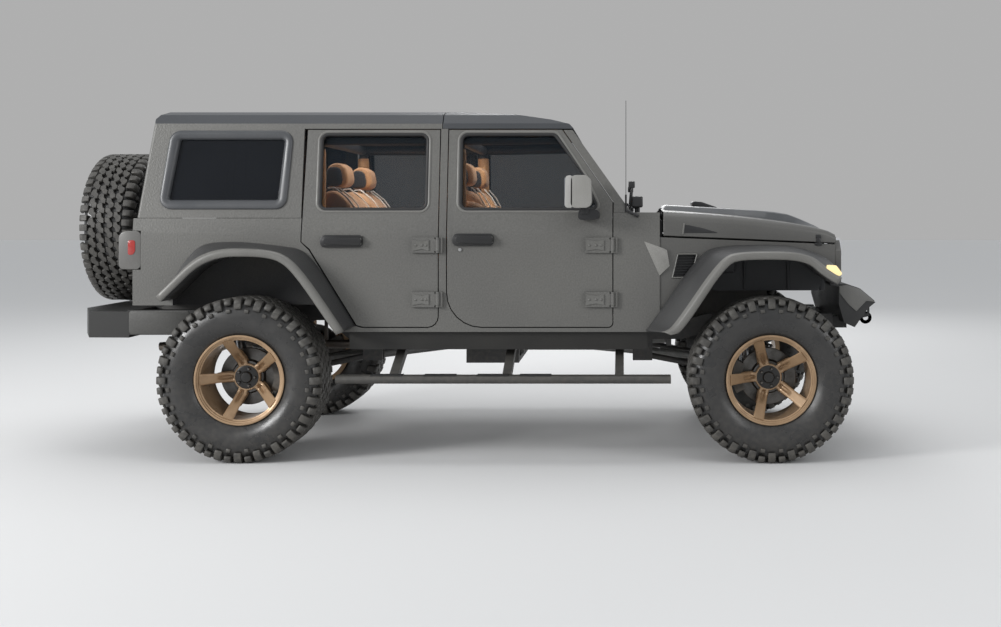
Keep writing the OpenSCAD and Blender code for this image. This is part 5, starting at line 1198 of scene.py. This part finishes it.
seat_base = 0.775
back_side = [(-0.020, 0.985), (-0.060, 1.080), (-0.108, 1.310), (-0.138, 1.475), (-0.125, 1.545), (-0.060, 1.560),
             (0.000, 1.530), (0.060, 1.445), (0.085, 1.300), (0.100, 1.120), (0.110, 1.020)]
bm = bmesh.new()
plate(bm, [(x, 0.225, z) for x, z in back_side], (0, 0.220, 0), 0.030, 3)
cushioned(bm, "front_seat_back", tan_leather, 0.012, ("front_seats",))
for low, high, label in ((0.112, 0.190, "inner"), (0.480, 0.558, "outer")):
    bm = bmesh.new()
    wing = [(-0.020, 1.000), (-0.095, 1.300), (-0.126, 1.440), (-0.100, 1.500), (0.010, 1.490), (0.098, 1.440),
            (0.148, 1.300), (0.165, 1.130), (0.150, 1.030)]
    plate(bm, [(x, low, z) for x, z in wing], (0, high - low, 0), 0.026, 3)
    cushioned(bm, f"front_seat_{label}_wing", tan_leather, 0.012)
    bm = bmesh.new()
    edge = [(0.060, 0.960), (0.060, 1.120), (0.140, 1.155), (0.420, 1.180), (0.478, 1.150), (0.470, 1.030),
            (0.430, 0.980)]
    plate(bm, [(x, low, z) for x, z in edge], (0, high - low, 0), 0.026, 3)
    cushioned(bm, f"front_seat_{label}_bolster", tan_leather, 0.012)
bm = bmesh.new()
sole = [(0.060, 0.985), (0.070, 1.125), (0.160, 1.140), (0.420, 1.160), (0.482, 1.120), (0.470, 1.020), (0.430, 0.985)]
plate(bm, [(x, 0.195, z) for x, z in sole], (0, 0.280, 0), 0.028, 3)
cushioned(bm, "front_seat_cushion", tan_leather, 0.012)
bm = bmesh.new()
head_rest = [(-0.128, 1.590), (-0.136, 1.680), (-0.110, 1.716), (-0.052, 1.720), (-0.018, 1.690), (-0.010, 1.610),
             (-0.030, 1.582), (-0.100, 1.578)]
plate(bm, [(x, 0.230, z) for x, z in head_rest], (0, 0.210, 0), 0.026, 3)
cushioned(bm, "front_head_restraint", tan_leather, 0.008)
bm = bmesh.new()
cheek = [(-0.126, 1.584), (-0.134, 1.672), (-0.112, 1.698), (-0.070, 1.700), (-0.046, 1.676), (-0.038, 1.610),
         (-0.050, 1.584)]
plate(bm, [(x, 0.214, z) for x, z in cheek], (0, 0.242, 0), 0.012, 3)
cushioned(bm, "front_head_restraint_cheeks", charcoal_leather, 0.003)

# ---- Seat bases and trim ----
# Under each front seat is a black steel box on runners, with plastic side shields. Head restraints stand
# on two steel stalks, charcoal inserts fill their sides, and piping follows the seams.

trim_coat = coated("moulded trim", (0.020, 0.020, 0.021), (0.030, 0.030, 0.030), rough=0.55, grain_scale=520, depth=0.35)
stalk_steel = coated("stalk steel", (0.30, 0.30, 0.30), (0.24, 0.24, 0.24), rough=0.3, metallic=0.8)
bm = bmesh.new()
bm_stalks = bmesh.new()
bm_piping = bmesh.new()
for side in (1, -1):
    box_block(bm, (-0.020, min(side * 0.14, side * 0.53), 0.776), (0.440, max(side * 0.14, side * 0.53), 0.985), 0.015)
    for y in (0.128, 0.530):
        shield = [(-0.045, 0.900), (-0.030, 1.060), (0.060, 1.090), (0.200, 1.020), (0.440, 1.000), (0.430, 0.900)]
        plate(bm, [(x, side * y, z) for x, z in shield], (0, side * 0.016, 0), 0.004)
    for y in (0.290, 0.380):
        bar(bm_stalks, (-0.066, side * y, 1.530), (-0.070, side * y, 1.600), 0.006)
    seams = []
    for y in (0.203, 0.467):
        seams.append([(-0.020, y, 1.570), (0.026, y, 1.520), (0.066, y, 1.448), (0.090, y, 1.390), (0.100, y, 1.300),
                      (0.116, y, 1.200), (0.128, y, 1.150)])
        seams.append([(0.130, y, 1.158), (0.200, y, 1.162), (0.320, y, 1.172), (0.430, y, 1.180), (0.480, y, 1.160)])
    for z in (1.36, 1.24):
        seams.append([(0.083 + (1.445 - z) * 0.14, y, z) for y in (0.215, 0.26, 0.335, 0.41, 0.455)])
    for seam in seams:
        tube_line(bm_piping, [(x, side * y, z) for x, y, z in seam], 0.0045)
bmesh.ops.recalc_face_normals(bm_piping, faces=bm_piping.faces)
finished(bm, "seat_base_trim", trim_coat, "root")
finished(bm_stalks, "head_restraint_stalks", stalk_steel, "root")
finished(bm_piping, "front_seat_piping", piping_coat, "root")

# ---- Rear bench ----
# A folding bench in the same tan leather, its back in two halves each with a head restraint, and
# one long cushion in three panels. A carpeted shell carries it down to the load floor.

bench_back = [(-0.945, 0.900), (-0.932, 1.300), (-0.915, 1.500), (-0.890, 1.548), (-0.830, 1.560), (-0.755, 1.500),
              (-0.712, 1.440), (-0.695, 1.300), (-0.690, 1.150), (-0.700, 1.000)]
bm = bmesh.new()
plate(bm, [(x, 0.006, z) for x, z in bench_back], (0, 0.560, 0), 0.030, 3)
cushioned(bm, "rear_seat_back", tan_leather, 0.010, ("rear_seat",))
bench_sole = [(-0.780, 0.985), (-0.770, 1.150), (-0.650, 1.165), (-0.420, 1.195), (-0.375, 1.150), (-0.395, 1.030),
              (-0.450, 0.985)]
bm = bmesh.new()
plate(bm, [(x, 0.006, z) for x, z in bench_sole], (0, 0.560, 0), 0.028, 3)
cushioned(bm, "rear_seat_cushion", tan_leather, 0.010)
bench_rest = [(-0.906, 1.572), (-0.912, 1.670), (-0.890, 1.712), (-0.830, 1.722), (-0.785, 1.690), (-0.772, 1.610),
              (-0.790, 1.575), (-0.870, 1.566)]
bm = bmesh.new()
plate(bm, [(x, 0.232, z) for x, z in bench_rest], (0, 0.206, 0), 0.026, 3)
cushioned(bm, "rear_head_restraint", tan_leather, 0.008)
bm = bmesh.new()
bench_cheek = [(-0.905, 1.574), (-0.911, 1.664), (-0.890, 1.694), (-0.846, 1.700), (-0.812, 1.676), (-0.802, 1.612),
               (-0.814, 1.578)]
plate(bm, [(x, 0.216, z) for x, z in bench_cheek], (0, 0.238, 0), 0.012, 3)
cushioned(bm, "rear_head_restraint_cheeks", charcoal_leather, 0.003)
carpet = coated("charcoal carpet", (0.018, 0.018, 0.019), (0.032, 0.031, 0.031), rough=0.95, grain_scale=700, depth=0.7,
                specular=0.1)
bm = bmesh.new()
box_block(bm, (-0.925, -0.562, 0.892), (-0.700, 0.562, 1.000), 0.012)
box_block(bm, (-0.700, -0.562, 0.776), (-0.440, 0.562, 1.000), 0.012)
finished(bm, "rear_bench_base", carpet, "root")
bm_piping = bmesh.new()
bm_stalks = bmesh.new()
for side in (1, -1):
    for y in (0.290, 0.380):
        bar(bm_stalks, (-0.846, side * y, 1.545), (-0.846, side * y, 1.580), 0.006)
    for y in (0.150, 0.430, 0.556):
        run = [(-0.868, 1.562), (-0.828, 1.566), (-0.752, 1.506), (-0.706, 1.444), (-0.688, 1.380), (-0.684, 1.300),
               (-0.680, 1.200), (-0.664, 1.176), (-0.600, 1.182), (-0.480, 1.200), (-0.410, 1.196)]
        tube_line(bm_piping, [(x, side * y, z) for x, z in run], 0.0048)
    for z in (1.40, 1.30):
        tube_line(bm_piping, [(-0.692 - max(0.0, z - 1.38) * 0.3, side * y, z) for y in (0.155, 0.22, 0.29, 0.36, 0.425)],
                  0.0045)
bmesh.ops.recalc_face_normals(bm_piping, faces=bm_piping.faces)
finished(bm_piping, "rear_seat_piping", piping_coat, "root")
finished(bm_stalks, "rear_head_restraint_stalks", stalk_steel, "root")

# ---- Roll bar ----
# Welded steel tube in satin black, with tan leather sleeves laced round its posts.

dress(coated("roll bar coat", (0.018, 0.018, 0.019), (0.026, 0.026, 0.026), rough=0.42), "roll_bar")
for side, hand in ((1, "left"), (-1, "right")):
    for x, foot, label in ((-0.905, 1.320, "rear"), (-0.073, 1.180, "front")):
        low, high = Vector((x, side * 0.6165, foot)), Vector((x, side * 0.6058, 1.792))
        length = (high - low).length
        profile = [(0.0312, 0.0), (0.0350, 0.0), (0.0372, 0.010)]
        profile += [(0.0380 + 0.002 * sin(pi * k / 12), 0.020 + (length - 0.040) * k / 12) for k in range(13)]
        profile += [(0.0372, length - 0.010), (0.0350, length), (0.0312, length), (0.0312, 0.0)]
        bm = bmesh.new()
        turned(bm, profile, axis=(0, 0, 1), steps=28)
        bmesh.ops.recalc_face_normals(bm, faces=bm.faces)
        slant = (high - low).to_track_quat("Z", "Y").to_matrix().to_4x4()
        bmesh.ops.transform(bm, matrix=Matrix.Translation(low) @ slant, verts=bm.verts)
        finished(bm, f"{hand}_{label}_post_sleeve", tan_leather, "root", smooth=40)

# ---- Dashboard and steering wheel ----
# The dashboard is one foamed moulding with a binnacle, round air vents, a centre screen and a tan band.
# The wheel has a leather rim on three satin spokes round a blank hub pad.

dash_skin = leather("dashboard skin", (0.024, 0.024, 0.025), (0.034, 0.033, 0.033))
softened("dashboard", "foamed_dashboard", dash_skin, "root", 0.016, steps=3)
wheel_leather = leather("steering wheel leather", (0.022, 0.021, 0.021), (0.032, 0.031, 0.030))
softened("steering_wheel", "leather_steering_wheel", wheel_leather, "steering_wheel", 0.004)
screen_glass = coated("screen glass", (0.006, 0.007, 0.009), (0.008, 0.009, 0.011), rough=0.10, grain_scale=60, depth=0.02)
bm = bmesh.new()
bm_tan = bmesh.new()
bm_glass = bmesh.new()
box_block(bm_glass, (0.703, -0.135, 1.205), (0.712, 0.135, 1.330), 0.003)
box_block(bm_tan, (0.704, -0.640, 1.270), (0.728, -0.150, 1.318), 0.008)
for y in (-0.585, -0.190, 0.190, 0.585):
    face = turned(bm, [(0.0, 0.0), (0.020, 0.0), (0.020, 0.004), (0.034, 0.004), (0.038, 0.0), (0.040, -0.006),
                       (0.040, -0.020), (0.0, -0.020), (0.0, 0.0)], axis=(-1, 0, 0), centre=(0.722, y, 1.350), steps=28)
box_block(bm, (0.690, 0.200, 1.335), (0.820, 0.470, 1.412), 0.020, 3)
bmesh.ops.recalc_face_normals(bm, faces=bm.faces)
finished(bm, "dashboard_vents_and_hood", trim_coat, "root")
finished(bm_tan, "dashboard_tan_band", tan_leather, "root")
finished(bm_glass, "dashboard_screen", screen_glass, "root")
